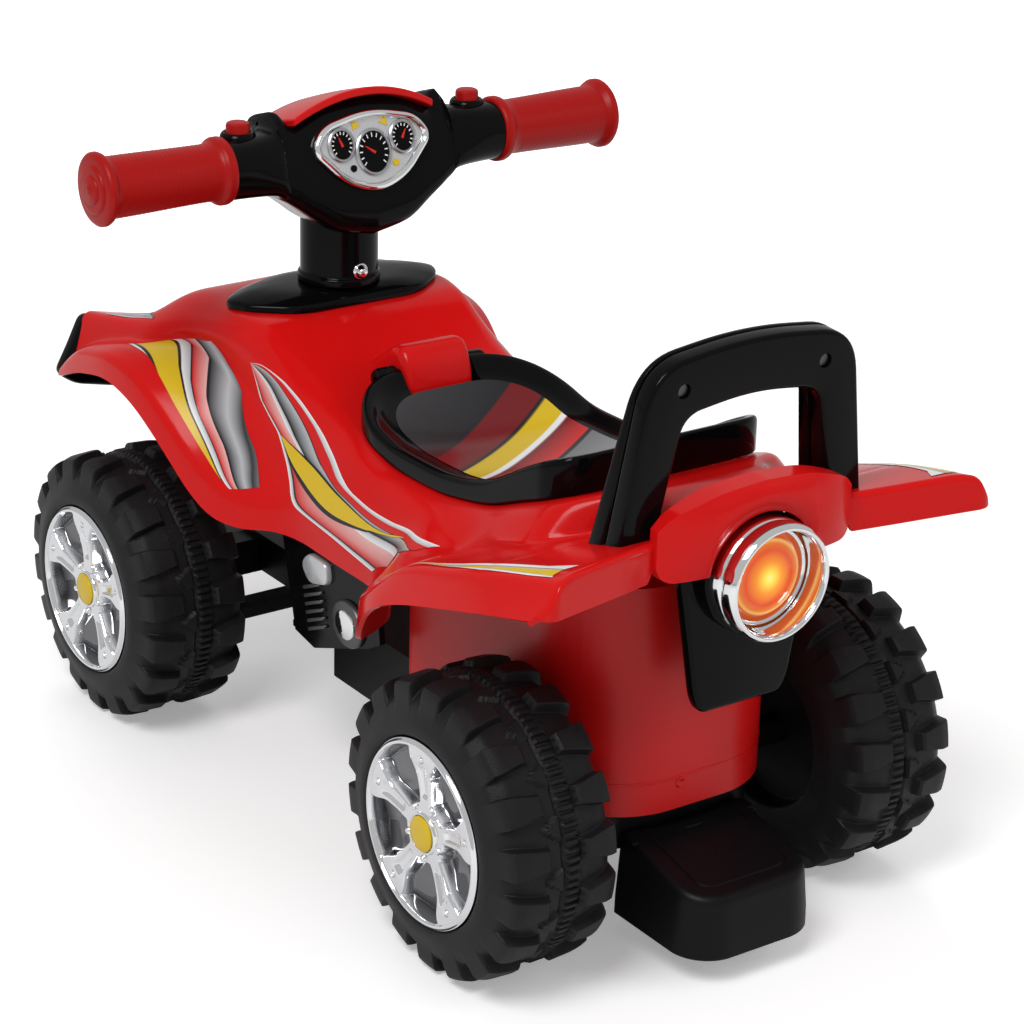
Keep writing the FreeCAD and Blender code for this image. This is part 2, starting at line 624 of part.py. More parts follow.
def rounded_prism(name, half_width, y, z, front_radius, rear_radius):
    """A prism along Z whose rectangular outline has its own front and rear corner radii."""
    edges = []
    corners = (
        (-1, y[0], rear_radius, 180), (1, y[0], rear_radius, 270),
        (1, y[1], front_radius, 0), (-1, y[1], front_radius, 90),
    )
    ends = []
    for side, edge_y, radius, start in corners:
        inward = 1 if float(edge_y) == float(y[0]) else -1
        centre = point(side * (half_width - radius), edge_y + inward * radius, z[0])
        arc = Part.Arc(Part.Circle(centre, Vector(0, 0, 1), float(radius)),
                       math.radians(start), math.radians(start + 90))
        edges.append(arc.toShape())
        ends.append((arc.StartPoint, arc.EndPoint))
    for index, (_, end) in enumerate(ends):
        edges.append(Part.LineSegment(end, ends[(index + 1) % len(ends)][0]).toShape())
    wire = Part.Wire(Part.__sortEdges__(edges))
    return free_solid(name, Part.Face(wire).extrude(point(0, 0, z[1] - z[0])))


def inset_half_section(points, wall):
    """A half section moved inwards by the wall, along the mean of the normals beside each corner."""
    flat = [(float(x), float(z)) for x, z in points]
    normals = []
    for (x0, z0), (x1, z1) in zip(flat, flat[1:]):
        length = math.hypot(x1 - x0, z1 - z0)
        normals.append(((z1 - z0) / length, (x0 - x1) / length))
    inset = []
    for index, (x, z) in enumerate(flat):
        before = (0, -1) if index == 0 else normals[index - 1]
        after = normals[min(index, len(normals) - 1)]
        across, up = before[0] + after[0], before[1] + after[1]
        stretch = 2 / (across * across + up * up)
        inset.append((x + across * stretch * wall, z + up * stretch * wall))
    return inset


def shell_section(y, points):
    """The closed wire of one section: outer half, its mirror image, and the same moved inwards."""
    outer = [(float(x), float(z)) for x, z in points]
    inner = inset_half_section(points, float(s.shell_wall))
    loop = [(-x, z) for x, z in reversed(outer[1:])] + outer
    loop += list(reversed(inner)) + [(-x, z) for x, z in inner[1:]]
    corners = [point(x, y, z) for x, z in loop]
    return Part.makePolygon(corners + corners[:1])


def make_body_shell():
    """Tank, fenders and deck in one wall, with the hatch collar, the rear panel and the rear lips."""
    sections = [shell_section(*row) for row in shell_rows()]
    wall = free_solid("shell_wall_solid", Part.makeLoft(sections, True, True))
    hatch = (hatch_rear, -s.hatch_front)
    through = (tub_top, s.tank_height + s.overrun)
    opening = rounded_prism("shell_hatch", s.hatch_half_width, hatch, through, s.hatch_radius, s.hatch_radius)
    rod_hole = bar("shell_rod_hole", s.steering_rod_radius + s.rod_hole_gap, "z",
                   (s.tank_height - s.shell_wall - s.overrun, s.tank_height + s.overrun), x=0, y=column_y)
    sweep = [(-s.tail_half_width, shell_tail), (s.tail_half_width, shell_tail),
             (s.fender_half_width, tail_face), (s.fender_half_width, tail_face - s.overrun),
             (-s.fender_half_width, tail_face - s.overrun), (-s.fender_half_width, tail_face)]
    sweep_wire = Part.makePolygon([point(x, y, 0) for x, y in sweep + sweep[:1]])
    sweep_height = point(0, 0, s.tank_height + handle_top)
    tail_cut = free_solid("shell_tail_cut", Part.Face(sweep_wire).extrude(sweep_height))
    trimmed = cut("shell_trimmed", wall, opening, rod_hole, tail_cut)
    collar_ring = cut(
        "collar_ring",
        rounded_prism("collar_outside", s.hatch_half_width + s.collar_wall,
                      (hatch[0] - s.collar_wall, hatch[1] + s.collar_wall), through,
                      s.hatch_radius + s.collar_wall, s.hatch_radius + s.collar_wall),
        opening)
    platform = shell_line("platform", -s.shell_wall / 2)
    below = [(platform[0][0], 0)] + platform + [(platform[-1][0], 0)]
    collar = common("shell_collar", collar_ring, side_prism("under_platform", below, s.seat_half_width))
    panel_corners = mirrored_outline(
        TAIL_PANEL_SHARES, s.tail_half_width, s.tail_panel_height, s.tank_height - s.tail_panel_drop)
    panel = padded("shell_tail_panel", "XZ_Plane", panel_corners,
                   (shell_tail - s.tail_panel / 2, shell_tail + s.tail_panel / 2))
    arch = bar("shell_lamp_arch", s.lamp_radius + s.arch_gap, "y",
               (shell_tail - s.tail_panel, shell_tail + s.tail_panel), x=0, z=lamp_z)
    deck_top = shell_line("deck", -s.shell_wall / 2)
    lip_band = side_prism("shell_lip_band", deck_top + list(reversed(shell_line("deck", -s.tail_lip))),
                          s.fender_half_width)
    lips = []
    near, far = s.tail_half_width - s.tail_panel, s.fender_half_width - s.shell_wall / 2
    for name, side in SIDES:
        ends = [(side * near, shell_tail), (side * far, tail_face), (side * far, tail_face + s.shell_wall),
                (side * near, shell_tail + s.shell_wall)]
        wire = Part.makePolygon([point(x, y, 0) for x, y in ends + ends[:1]])
        upright = free_solid(f"shell_lip_wall_{name}", Part.Face(wire).extrude(point(0, 0, handle_top)))
        lips.append(common(f"shell_lip_{name}", upright, lip_band))
    return fuse("body_shell", trimmed, collar, cut("shell_tail_plate", panel, arch), *lips)


def make_storage_tub():
    """Red lower body: walls, a raised floor over the rear axle and a top flange round the hatch."""
    span = (tub_rear, -s.tub_front)
    outside = rounded_prism("tub_outside", s.tub_half_width, span, (s.tub_bottom, tub_top),
                            s.tub_front_radius, s.tub_rear_radius)
    inner_span = (span[0] + s.tub_wall, span[1] - s.tub_wall)
    inner = (s.tub_half_width - s.tub_wall, inner_span)
    radii = (s.tub_front_radius - s.tub_wall, s.tub_rear_radius - s.tub_wall)
    store = rounded_prism("tub_store", *inner, (chassis_top + s.tub_wall, tub_top - s.tub_wall), *radii)
    under = rounded_prism("tub_under", *inner, (s.tub_bottom - s.overrun, chassis_top), *radii)
    hatch = rounded_prism("tub_hatch", s.hatch_half_width, (hatch_rear, -s.hatch_front),
                          (tub_top - s.tub_wall - s.overrun, tub_top + s.overrun),
                          s.hatch_radius, s.hatch_radius)
    notch_half = s.hub_radius + s.tub_axle_gap
    notch = block("tub_axle_notch", both(s.tub_half_width + s.overrun),
                  (rear_axle - notch_half, rear_axle + notch_half), (s.tub_bottom - s.overrun, chassis_top))
    passage = block("tub_frame_passage", both(s.chassis_half_width + s.fixed_clearance),
                    (inner_span[1] - s.overrun, span[1] + s.overrun), (s.tub_bottom - s.overrun, chassis_top))
    holes = [bar(f"tub_screw_hole_{index}", s.screw_radius + s.fixed_clearance, "z",
                 (chassis_top - s.overrun, chassis_top + s.tub_wall + s.overrun), x=x, y=y)
             for index, (x, y) in enumerate(body_screw_places())]
    return cut("storage_tub", outside, store, under, hatch, notch, passage, *holes)


def body_screw_places():
    """The four screws that hold the tub to the under-frame."""
    x = s.chassis_half_width - s.chassis_plate * 4
    front = -s.tub_front - s.tub_front_radius * 2
    rear = rear_axle + s.hub_radius * 2
    return [(side * x, y) for side in (-1, 1) for y in (front, rear)]


def make_body_screws():
    """Screws with their heads on the tub's floor."""
    floor = chassis_top + s.tub_wall
    parts = []
    for index, (x, y) in enumerate(body_screw_places()):
        head = bar(f"body_screw_head_{index}", s.screw_head_radius, "z",
                   (floor, floor + s.screw_head_height), x=x, y=y)
        shank = bar(f"body_screw_shank_{index}", s.screw_radius, "z", (floor - s.screw_grip, floor), x=x, y=y)
        parts.append(fuse(f"body_screw_{index}", head, shank))
    return fuse("body_screws", *parts)


def make_chassis():
    """Under-frame: an inverted tray, deep under the tub and shallow between the steered wheels."""
    inner_top = chassis_top - s.chassis_plate
    rear_bottom = chassis_top - s.chassis_rear_depth
    front_bottom = chassis_top - s.chassis_front_depth
    rear = rounded_prism("chassis_rear", s.chassis_half_width, (chassis_rear, s.chassis_waist),
                         (rear_bottom, chassis_top), s.chassis_front_radius, s.chassis_rear_radius)
    front = block("chassis_front", both(s.chassis_front_half_width),
                  (s.chassis_waist - s.overrun, chassis_front), (front_bottom, chassis_top))
    rear_room = rounded_prism("chassis_rear_room", s.chassis_half_width - s.chassis_plate,
                              (chassis_rear + s.chassis_plate, s.chassis_waist - s.chassis_plate),
                              (rear_bottom - s.overrun, inner_top),
                              s.chassis_front_radius - s.chassis_plate, s.chassis_rear_radius - s.chassis_plate)
    front_room = block("chassis_front_room", both(s.chassis_front_half_width - s.chassis_plate),
                       (s.chassis_waist + s.chassis_plate, chassis_front - s.chassis_plate),
                       (front_bottom - s.overrun, inner_top))
    notch_half = s.beam_half_depth + s.fixed_clearance
    notch = block("chassis_beam_notch", both(s.chassis_front_half_width + s.overrun),
                  (front_axle - notch_half, front_axle + notch_half), (front_bottom - s.overrun, inner_top))
    axle = bar("chassis_axle_bore", s.axle_radius + s.fixed_clearance, "x",
               both(s.chassis_half_width + s.overrun), y=rear_axle, z=axle_height)
    bush = bar("chassis_bush_bore", s.bush_radius + s.fixed_clearance, "z",
               (inner_top - s.overrun, chassis_top + s.overrun), x=0, y=column_y)
    holes = [bar(f"chassis_screw_hole_{index}", s.screw_radius + s.fixed_clearance, "z",
                 (inner_top - s.overrun, chassis_top + s.overrun), x=x, y=y)
             for index, (x, y) in enumerate(body_screw_places())]
    tray = fuse("chassis_tray", rear, front)
    return cut("chassis", tray, rear_room, front_room, notch, axle, bush, *holes)


def make_front_axle():
    """The beam under the frame's top plate with its rounded ends, and the two kingpins."""
    beam_span = (axle_height - s.beam_half_height, axle_height + s.beam_half_height)
    middle = block("beam_middle", both(kingpin_place),
                   (front_axle - s.beam_half_depth, front_axle + s.beam_half_depth), beam_span)
    ends, bores, pins = [], [], []
    pin_span = (lower_lug_bottom, upper_lug_bottom + s.knuckle_lug_height + s.seat_clearance)
    for name, side in SIDES:
        at = {"x": side * kingpin_place, "y": front_axle}
        ends.append(bar(f"beam_end_{name}", s.beam_end_radius, "z", beam_span, **at))
        bores.append(bar(f"beam_bore_{name}", s.kingpin_radius + s.fixed_clearance, "z",
                         (beam_span[0] - s.overrun, beam_span[1] + s.overrun), **at))
        shank = bar(f"kingpin_shank_{name}", s.kingpin_radius, "z", pin_span, **at)
        head = bar(f"kingpin_head_{name}", s.kingpin_head_radius, "z",
                   (pin_span[1], pin_span[1] + s.kingpin_head_height), **at)
        pins.append(fuse(f"kingpin_{name}", shank, head))
    cut("front_axle_beam", fuse("beam_solid", middle, *ends), *bores)
    fuse("kingpins", *pins)


def make_knuckle(name, side):
    """A knuckle: two lugs round the beam's end, an upright web, the hub boss, the arm and its pin."""
    y_span = (front_axle - s.knuckle_half_depth, front_axle + s.knuckle_half_depth)
    web_inner = kingpin_place + s.knuckle_web_gap
    web_outer = web_inner + s.knuckle_web
    lug_x = sided(side, kingpin_place - s.knuckle_half_depth, web_outer)
    upper_lug_top = upper_lug_bottom + s.knuckle_lug_height
    upper = block(f"{name}_knuckle_upper", lug_x, y_span, (upper_lug_bottom, upper_lug_top))
    lower = block(f"{name}_knuckle_lower", lug_x, y_span, (lower_lug_bottom, lower_lug_top))
    web = block(f"{name}_knuckle_web", sided(side, web_inner, web_outer), y_span,
                (lower_lug_bottom, upper_lug_top))
    boss = bar(f"{name}_knuckle_boss", s.knuckle_boss_radius, "x",
               sided(side, web_inner, hub_start - s.seat_clearance), y=front_axle, z=axle_height)
    arm_end = front_axle - s.arm_length
    pin_at = {"x": side * kingpin_place, "y": arm_end}
    arm_span = sided(side, kingpin_place - s.arm_half_width, kingpin_place + s.arm_half_width)
    arm = block(f"{name}_knuckle_arm", arm_span,
                (arm_end, front_axle), (lower_lug_bottom, lower_lug_top))
    arm_round = bar(f"{name}_knuckle_arm_end", s.arm_half_width, "z",
                    (lower_lug_bottom, lower_lug_top), **pin_at)
    pin = bar(f"{name}_knuckle_pin", s.arm_pin_radius, "z", (pin_head_bottom, lower_lug_bottom), **pin_at)
    head = bar(f"{name}_knuckle_pin_head", s.arm_pin_head_radius, "z",
               (pin_head_bottom, pin_head_top), **pin_at)
    bore = bar(f"{name}_knuckle_bore", s.kingpin_radius + s.running_clearance, "z",
               (lower_lug_bottom - s.overrun, upper_lug_top + s.overrun), x=side * kingpin_place, y=front_axle)
    axle_bore = bar(f"{name}_knuckle_axle_bore", s.axle_radius + s.fixed_clearance, "x",
                    sided(side, web_inner - s.overrun, hub_start + s.overrun), y=front_axle, z=axle_height)
    solid = fuse(f"{name}_knuckle_solid", upper, lower, web, boss, arm, arm_round, pin, head)
    cut(f"{name}_knuckle", solid, bore, axle_bore)
    bar(f"{name}_stub_axle", s.axle_radius, "x", sided(side, web_inner, axle_end),
        y=front_axle, z=axle_height)


def make_retainer(name, side, y):
    """A push nut on an axle's outer end."""
    start = hub_end + s.seat_clearance
    span = sided(side, start, start + s.retainer_width)
    disc = bar(name + "_disc", s.retainer_radius, "x", span, y=y, z=axle_height)
    hole = bar(name + "_hole", s.axle_radius + s.fixed_clearance, "x",
               sided(side, start - s.overrun, axle_end + s.overrun),
               y=y, z=axle_height)
    return cut(name, disc, hole)


def make_rear_axle():
    """The fixed rear axle, its two spacer tubes and its push nuts."""
    bar("rear_axle", s.axle_radius, "x", both(axle_end), y=rear_axle, z=axle_height)
    spacers = []
    for name, side in SIDES:
        span = sided(side, s.chassis_half_width, hub_start - s.seat_clearance)
        tube = bar(f"spacer_tube_{name}", s.knuckle_boss_radius, "x", span, y=rear_axle, z=axle_height)
        hole = bar(f"spacer_hole_{name}", s.axle_radius + s.fixed_clearance, "x",
                   sided(side, s.chassis_half_width - s.overrun, hub_start + s.overrun),
                   y=rear_axle, z=axle_height)
        spacers.append(cut(f"spacer_{name}", tube, hole))
    fuse("rear_spacers", *spacers)
    fuse("rear_retainers", *[make_retainer(f"rear_retainer_{name}", side, rear_axle) for name, side in SIDES])


def make_tie_rod():
    """The bar between the knuckle arms, with a tongue that runs back under the rod to the crank."""
    arm_y = front_axle - s.arm_length
    crank_y = column_y - s.arm_length
    span = (tie_rod_bottom, tie_rod_top)
    parts = [block("tie_bar", both(kingpin_place),
                   (arm_y - s.tie_rod_half_width, arm_y + s.tie_rod_half_width), span),
             block("tie_tongue", both(s.tie_rod_half_width), (crank_y, arm_y), span),
             bar("tie_tongue_end", s.tie_rod_half_width, "z", span, x=0, y=crank_y)]
    places = [(0, crank_y)]
    for name, side in SIDES:
        parts.append(bar(f"tie_end_{name}", s.tie_rod_half_width, "z", span, x=side * kingpin_place, y=arm_y))
        places.append((side * kingpin_place, arm_y))
    half_x = s.arm_pin_radius + s.tie_slot_side_gap
    half_y = s.arm_pin_radius + s.tie_slot_end_gap
    slots = [block(f"tie_slot_{index}", (x - half_x, x + half_x), (y - half_y, y + half_y),
                   (span[0] - s.overrun, span[1] + s.overrun)) for index, (x, y) in enumerate(places)]
    return cut("tie_rod", fuse("tie_solid", *parts), *slots)


def make_steering_column():
    """Steel rod with its crank, the lower bush, the bezel plate, the neck and its bolt."""
    rod_top = neck_top - s.neck_cover
    flange_top = chassis_top + s.bush_flange_height
    collar_bottom = flange_top + s.seat_clearance
    crank_bottom = crank_top - s.crank_height
    crank_y = column_y - s.arm_length
    bolt_z = neck_bottom + s.neck_bolt_rise
    at = {"x": 0, "y": column_y}
    rod = fuse(
        "steering_rod_solid",
        bar("rod_shank", s.steering_rod_radius, "z", (crank_bottom, rod_top), **at),
        bar("rod_collar", s.rod_collar_radius, "z", (collar_bottom, collar_bottom + s.rod_collar_height), **at),
        block("rod_crank", both(s.arm_half_width), (crank_y, column_y), (crank_bottom, crank_top)),
        bar("rod_crank_hub", s.arm_half_width, "z", (crank_bottom, crank_top), **at),
        bar("rod_crank_end", s.arm_half_width, "z", (crank_bottom, crank_top), x=0, y=crank_y),
        bar("rod_crank_pin", s.arm_pin_radius, "z", (pin_head_bottom, crank_bottom), x=0, y=crank_y),
        bar("rod_crank_pin_head", s.arm_pin_head_radius, "z", (pin_head_bottom, pin_head_top), x=0, y=crank_y))
    bolt_span = (column_y - s.neck_radius, column_y + s.neck_radius)
    bolt_bore = bar("rod_bolt_bore", s.neck_bolt_radius + s.fixed_clearance, "y",
                    (bolt_span[0] - s.overrun, bolt_span[1] + s.overrun), x=0, z=bolt_z)
    cut("steering_rod", rod, bolt_bore)
    bush = fuse("bush_solid",
                bar("bush_sleeve", s.bush_radius, "z", (chassis_top - s.chassis_plate, chassis_top), **at),
                bar("bush_flange", s.bush_flange_radius, "z", (chassis_top, flange_top), **at))
    bush_bore = bar("bush_bore", s.steering_rod_radius + s.running_clearance, "z",
                    (chassis_top - s.chassis_plate - s.overrun, flange_top + s.overrun), **at)
    cut("column_bush", bush, bush_bore)
    neck = bar("neck_solid", s.neck_radius, "z", (neck_bottom, neck_top), **at)
    neck_bore = bar("neck_bore", s.steering_rod_radius + s.fixed_clearance, "z",
                    (neck_bottom - s.overrun, rod_top + s.fixed_clearance), **at)
    cut("steering_neck", neck, neck_bore, bolt_bore)
    head = bar("neck_bolt_head", s.neck_bolt_head_radius, "y",
               (bolt_span[0] - s.neck_bolt_head_height, bolt_span[0]), x=0, z=bolt_z)
    shank = bar("neck_bolt_shank", s.neck_bolt_radius, "y", bolt_span, x=0, z=bolt_z)
    fuse("neck_bolt", head, shank)
    middle = column_y + s.bezel_forward
    plan = mirrored_plan(BEZEL_OUTLINE_SHARES, s.bezel_half_width, s.bezel_half_depth)
    lower = [(x, y + middle) for x, y in plan]
    upper = [(x * BEZEL_TOP_SHARE, (y - middle) * BEZEL_TOP_SHARE + middle) for x, y in lower]
    wall_top = s.tank_height + s.bezel_height * BEZEL_WALL_SHARE
    levels = ((lower, s.tank_height), (lower, wall_top), (upper, bezel_top))
    wires = [Part.makePolygon([point(x, y, z) for x, y in corners + corners[:1]]) for corners, z in levels]
    plate = free_solid("bezel_plate", Part.makeLoft(wires, True, True))
    bezel_bore = bar("bezel_bore", s.steering_rod_radius + s.running_clearance, "z",
                     (s.tank_height - s.overrun, bezel_top + s.overrun), **at)
    cut("column_bezel", plate, bezel_bore)


def mirrored_plan(shares, half_width, half_depth):
    """A closed plan outline from half an outline in shares of a half width and a half depth."""
    right = [(half_width * x, half_depth * y) for x, y in shares]
    return right + [(-x, y) for x, y in reversed(right[1:-1])]


def make_tyre(name, side, y):
    """A hollow tyre, open at its outer face for the hub cap, with a ring of lugs on each shoulder."""
    tread = s.wheel_radius - s.lug_height
    shoulder = tread - s.shoulder_drop
    width, wall = s.tyre_width, s.tyre_wall
    mouth = s.cap_radius + s.seat_clearance
    bore = s.axle_radius + s.running_clearance
    lip = width - s.cap_depth - s.cap_wall
    hub_out = s.tyre_width - s.hub_end_inset
    corners = [
        (s.recess_depth, bore), (s.recess_depth, s.recess_radius), (0, s.recess_radius), (0, shoulder),
        (s.shoulder_width, tread), (width - s.shoulder_width, tread), (width, shoulder), (width, mouth),
        (lip, mouth), (lip, mouth + wall), (width - wall, mouth + wall), (width - wall, shoulder),
        (width - s.shoulder_width, tread - wall), (s.shoulder_width, tread - wall), (wall, shoulder),
        (wall, s.recess_radius + wall), (s.recess_depth + wall, s.recess_radius + wall),
        (s.recess_depth + wall, s.hub_radius), (hub_out, s.hub_radius), (hub_out, bore),
    ]
    body = turned(name, "x", corners)
    half = s.lug_width / 2
    heights = (tread - wall / 2, s.wheel_radius)
    for low, high in ((s.shoulder_width, s.shoulder_width + s.lug_length),
                      (width - s.shoulder_width - s.lug_length, width - s.shoulder_width)):
        ring_of_pads(body, "XY_Plane", [(low, -half), (high, -half), (high, half), (low, half)],
                     heights, "X_Axis", s.lug_count)
    place(body, side * tyre_inner, y, axle_height, Rotation() if side > 0 else HALF_TURN)


def make_cap(name, side, y):
    """A dished chrome hub cap with spokes and a raised middle."""
    width, wall = s.tyre_width, s.cap_wall
    face = width + s.cap_proud
    floor = face - s.cap_dish_depth
    rim = s.cap_radius - s.cap_rim_width
    dish = rim - wall * 2
    boss = s.cap_boss_radius
    corners = [
        (width - s.cap_depth, s.cap_radius), (face, s.cap_radius), (face, rim), (floor, dish), (floor, boss),
        (face - wall, boss - wall), (face - wall, 0), (face - wall * 2, 0), (face - wall * 2, boss - wall * 2),
        (floor - wall, boss - wall), (floor - wall, dish + wall), (face - wall, rim + wall),
        (face - wall, s.cap_radius - wall), (width - s.cap_depth, s.cap_radius - wall),
    ]
    body = turned(name, "x", corners)
    half = s.spoke_width / 2
    ring_of_pads(body, "YZ_Plane", [(-half, boss), (half, boss), (half, rim), (-half, rim)],
                 (floor - wall / 2, face - wall / 2), "X_Axis", s.spoke_count)
    place(body, side * tyre_inner, y, axle_height, Rotation() if side > 0 else HALF_TURN)


def housing_outline(inset=0):
    """The housing seen from behind, moved inwards by a wall where one is given."""
    width = s.grip_inner_end - inset
    corners = []
    for across, up in HOUSING_OUTLINE_SHARES:
        drop = 1 - 2 * up
        corners.append((width * across, neck_top + s.housing_height * up + inset * drop))
    left = [(-x, z) for x, z in reversed(corners) if float(x) > 0]
    return [(x if float(x) > 0 else 0, z) for x, z in corners] + left


def slope_cutter(name, depth):
    """A block behind the dial's sloping plane, moved forward by a depth."""
    reach = s.housing_height * 2
    thing = doc.addObject("Part::Box", name)
    bind(thing, Length=s.bar_half_width * 2, Width=reach, Height=reach * 2)
    turn = Rotation(Vector(1, 0, 0), -float(s.gauge_tilt))
    foot = point(0, housing_rear_y + depth, neck_top + s.gauge_foot)
    thing.Placement = Placement(foot + turn.multVec(point(-s.bar_half_width, -reach, -reach)), turn)
    return thing


def make_housing():
    """Two hollow covers, the rear one with the grips' spigots and the button holes."""
    outer, inner = housing_outline(), housing_outline(s.housing_wall)
    rear_span = (housing_rear_y - s.overrun * 4, housing_split_y)
    rear_solid = padded("rear_cover_pad", "XZ_Plane", outer, rear_span)
    rear_shape = cut("rear_cover_sloped", rear_solid, slope_cutter("rear_cover_slope", 0))
    room_pad = padded("rear_room_pad", "XZ_Plane", inner, (rear_span[0], housing_split_y + s.overrun))
    room = cut("rear_room", room_pad, slope_cutter("rear_room_slope", s.housing_wall))
    spigots, holes, screw_holes = [], [], []
    spigot_end = s.bar_half_width - s.grip_end_wall - s.spigot_end_gap
    arm_top = neck_top + s.housing_height * HOUSING_OUTLINE_SHARES[3][1]
    for name, side in SIDES:
        spigots.append(bar(f"spigot_{name}", s.spigot_radius, "x",
                           sided(side, s.grip_inner_end - s.housing_wall / 2, spigot_end), y=bar_y, z=bar_z))
        holes.append(bar(f"button_hole_{name}", s.button_radius + s.button_gap, "z",
                         (arm_top - s.housing_wall * 2, arm_top + s.overrun),
                         x=side * s.button_place, y=button_y()))
        boss_span = (bar_y - s.housing_wall * 2, housing_split_y)
        spigots.append(bar(f"cover_boss_{name}", s.screw_head_radius + s.screw_radius, "y", boss_span,
                           x=side * cover_screw_place, z=bar_z))
        screw_holes.append(bar(f"cover_screw_hole_{name}", s.screw_radius + s.fixed_clearance, "y",
                               (housing_split_y - s.screw_grip, housing_split_y + s.housing_wall + s.overrun),
                               x=side * cover_screw_place, z=bar_z))
    holes += screw_holes
    hollow_cover = cut("rear_cover_shell", rear_shape, room)
    cut("bar_rear_cover", fuse("rear_cover_with_spigots", hollow_cover, *spigots), *holes)
    core = common("front_core",
                  padded("front_cover_pad", "XZ_Plane", outer, (housing_split_y, housing_front_y)),
                  block("front_core_block", both(s.housing_core_half_width), (housing_split_y, housing_front_y),
                        (neck_top, neck_top + s.housing_height + s.overrun)))
    arm_span = (housing_split_y, housing_split_y + s.housing_wall)
    arms = common("front_arms", padded("front_arm_pad", "XZ_Plane", outer, arm_span),
                  block("front_arm_block", both(s.grip_inner_end), arm_span,
                        (neck_top, neck_top + s.housing_height + s.overrun)))
    core_room = common("front_room", padded("front_room_pad", "XZ_Plane", inner,
                                            (housing_split_y - s.overrun, housing_front_y - s.housing_wall)),
                       block("front_room_block", both(s.housing_core_half_width - s.housing_wall),
                             (housing_split_y - s.overrun, housing_front_y),
                             (neck_top, neck_top + s.housing_height)))
    door_low = neck_top + s.battery_rise - s.battery_radius - s.door_gap
    door_room = block("door_room", both(s.door_half_width + s.door_gap),
                      (housing_front_y - s.housing_wall - s.overrun, housing_front_y + s.overrun),
                      (door_low - s.door_gap, door_low + s.door_height + s.door_gap))
    posts = []
    board_front = housing_split_y + s.overrun
    for name, side in SIDES:
        x = side * (s.board_half_width - s.post_radius)
        posts.append(bar(f"board_post_{name}", s.post_radius, "y",
                         (board_front, housing_front_y - s.housing_wall / 2),
                         x=x, z=neck_top + s.board_rise + s.post_radius))
    cover = cut("front_cover_shell", fuse("front_cover_solid", core, arms), core_room, door_room, *screw_holes)
    fuse("bar_front_cover", cover, *posts)
    block("battery_door", both(s.door_half_width), (housing_front_y - s.housing_wall, housing_front_y),
          (door_low, door_low + s.door_height))
    block("sound_board", both(s.board_half_width), (board_front - s.board_thickness, board_front),
          (neck_top + s.board_rise, neck_top + s.board_rise + s.board_height))
    inside = housing_front_y - s.housing_wall
    bar("speaker", s.speaker_radius, "y", (inside - s.speaker_depth, inside), x=0, z=neck_top + s.speaker_rise)
    cell_y = inside - s.battery_radius - s.fixed_clearance
    step = s.battery_radius * 2 + s.fixed_clearance
    cells = [bar(f"cell_{index}", s.battery_radius, "x", both(s.battery_length / 2),
                 y=cell_y, z=neck_top + s.battery_rise + step * index) for index in range(2)]
    fuse("batteries", *cells)


def button_y():
    """The buttons stand over the middle of the arms, behind the joint of the covers."""
    return housing_split_y - s.button_flange_radius - s.housing_wall - s.overrun / 2


def make_buttons():
    """Sprung buttons on top of the housing's arms, each with its flange, and their springs."""
    arm_top = neck_top + s.housing_height * HOUSING_OUTLINE_SHARES[3][1]
    roof = arm_top - s.housing_wall
    for name, side in SIDES:
        flange_top = roof - s.seat_clearance * 3
        corners = [(flange_top - s.button_flange_height, 0),
                   (flange_top - s.button_flange_height, s.button_flange_radius),
                   (flange_top, s.button_flange_radius), (flange_top, s.button_radius),
                   (arm_top + s.button_proud - s.button_flange_height, s.button_radius),
                   (arm_top + s.button_proud, s.button_radius - s.button_flange_height),
                   (arm_top + s.button_proud, 0)]
        button = turned(f"{name}_button", "z", corners)
        place(button, side * s.button_place, button_y(), 0)
        arm_foot = neck_top + s.housing_height * HOUSING_OUTLINE_SHARES[2][1] + s.housing_wall
        span = (arm_foot + s.spring_wall, flange_top - s.button_flange_height)
        at = {"x": side * s.button_place, "y": button_y()}
        cut(f"{name}_button_spring", bar(f"{name}_spring_outside", s.spring_radius, "z", span, **at),
            bar(f"{name}_spring_inside", s.spring_radius - s.spring_wall, "z",
                (span[0] - s.overrun, span[1] + s.overrun), **at))


def make_grip(name, side):
    """A red grip: collar, waisted middle, end flange and a closed stepped end, bored for its spigot."""
    start, end = s.grip_inner_end, s.bar_half_width
    bore = s.spigot_radius + s.fixed_clearance
    step = s.grip_flange_width / 3
    corners = [
        (start, bore), (start, s.grip_collar_radius), (start + step * 2, s.grip_collar_radius),
        (start + step * 3, s.grip_radius), (end - step * 3, s.grip_radius),
        (end - step * 2, s.grip_flange_radius), (end - step, s.grip_flange_radius),
        (end - step, s.grip_radius - step), (end, s.grip_radius - step), (end, 0), (end - s.grip_end_wall, 0),
        (end - s.grip_end_wall, bore),
    ]
    grip = turned(f"{name}_grip", "x", corners)
    place(grip, 0, bar_y, bar_z, Rotation() if side > 0 else HALF_TURN)


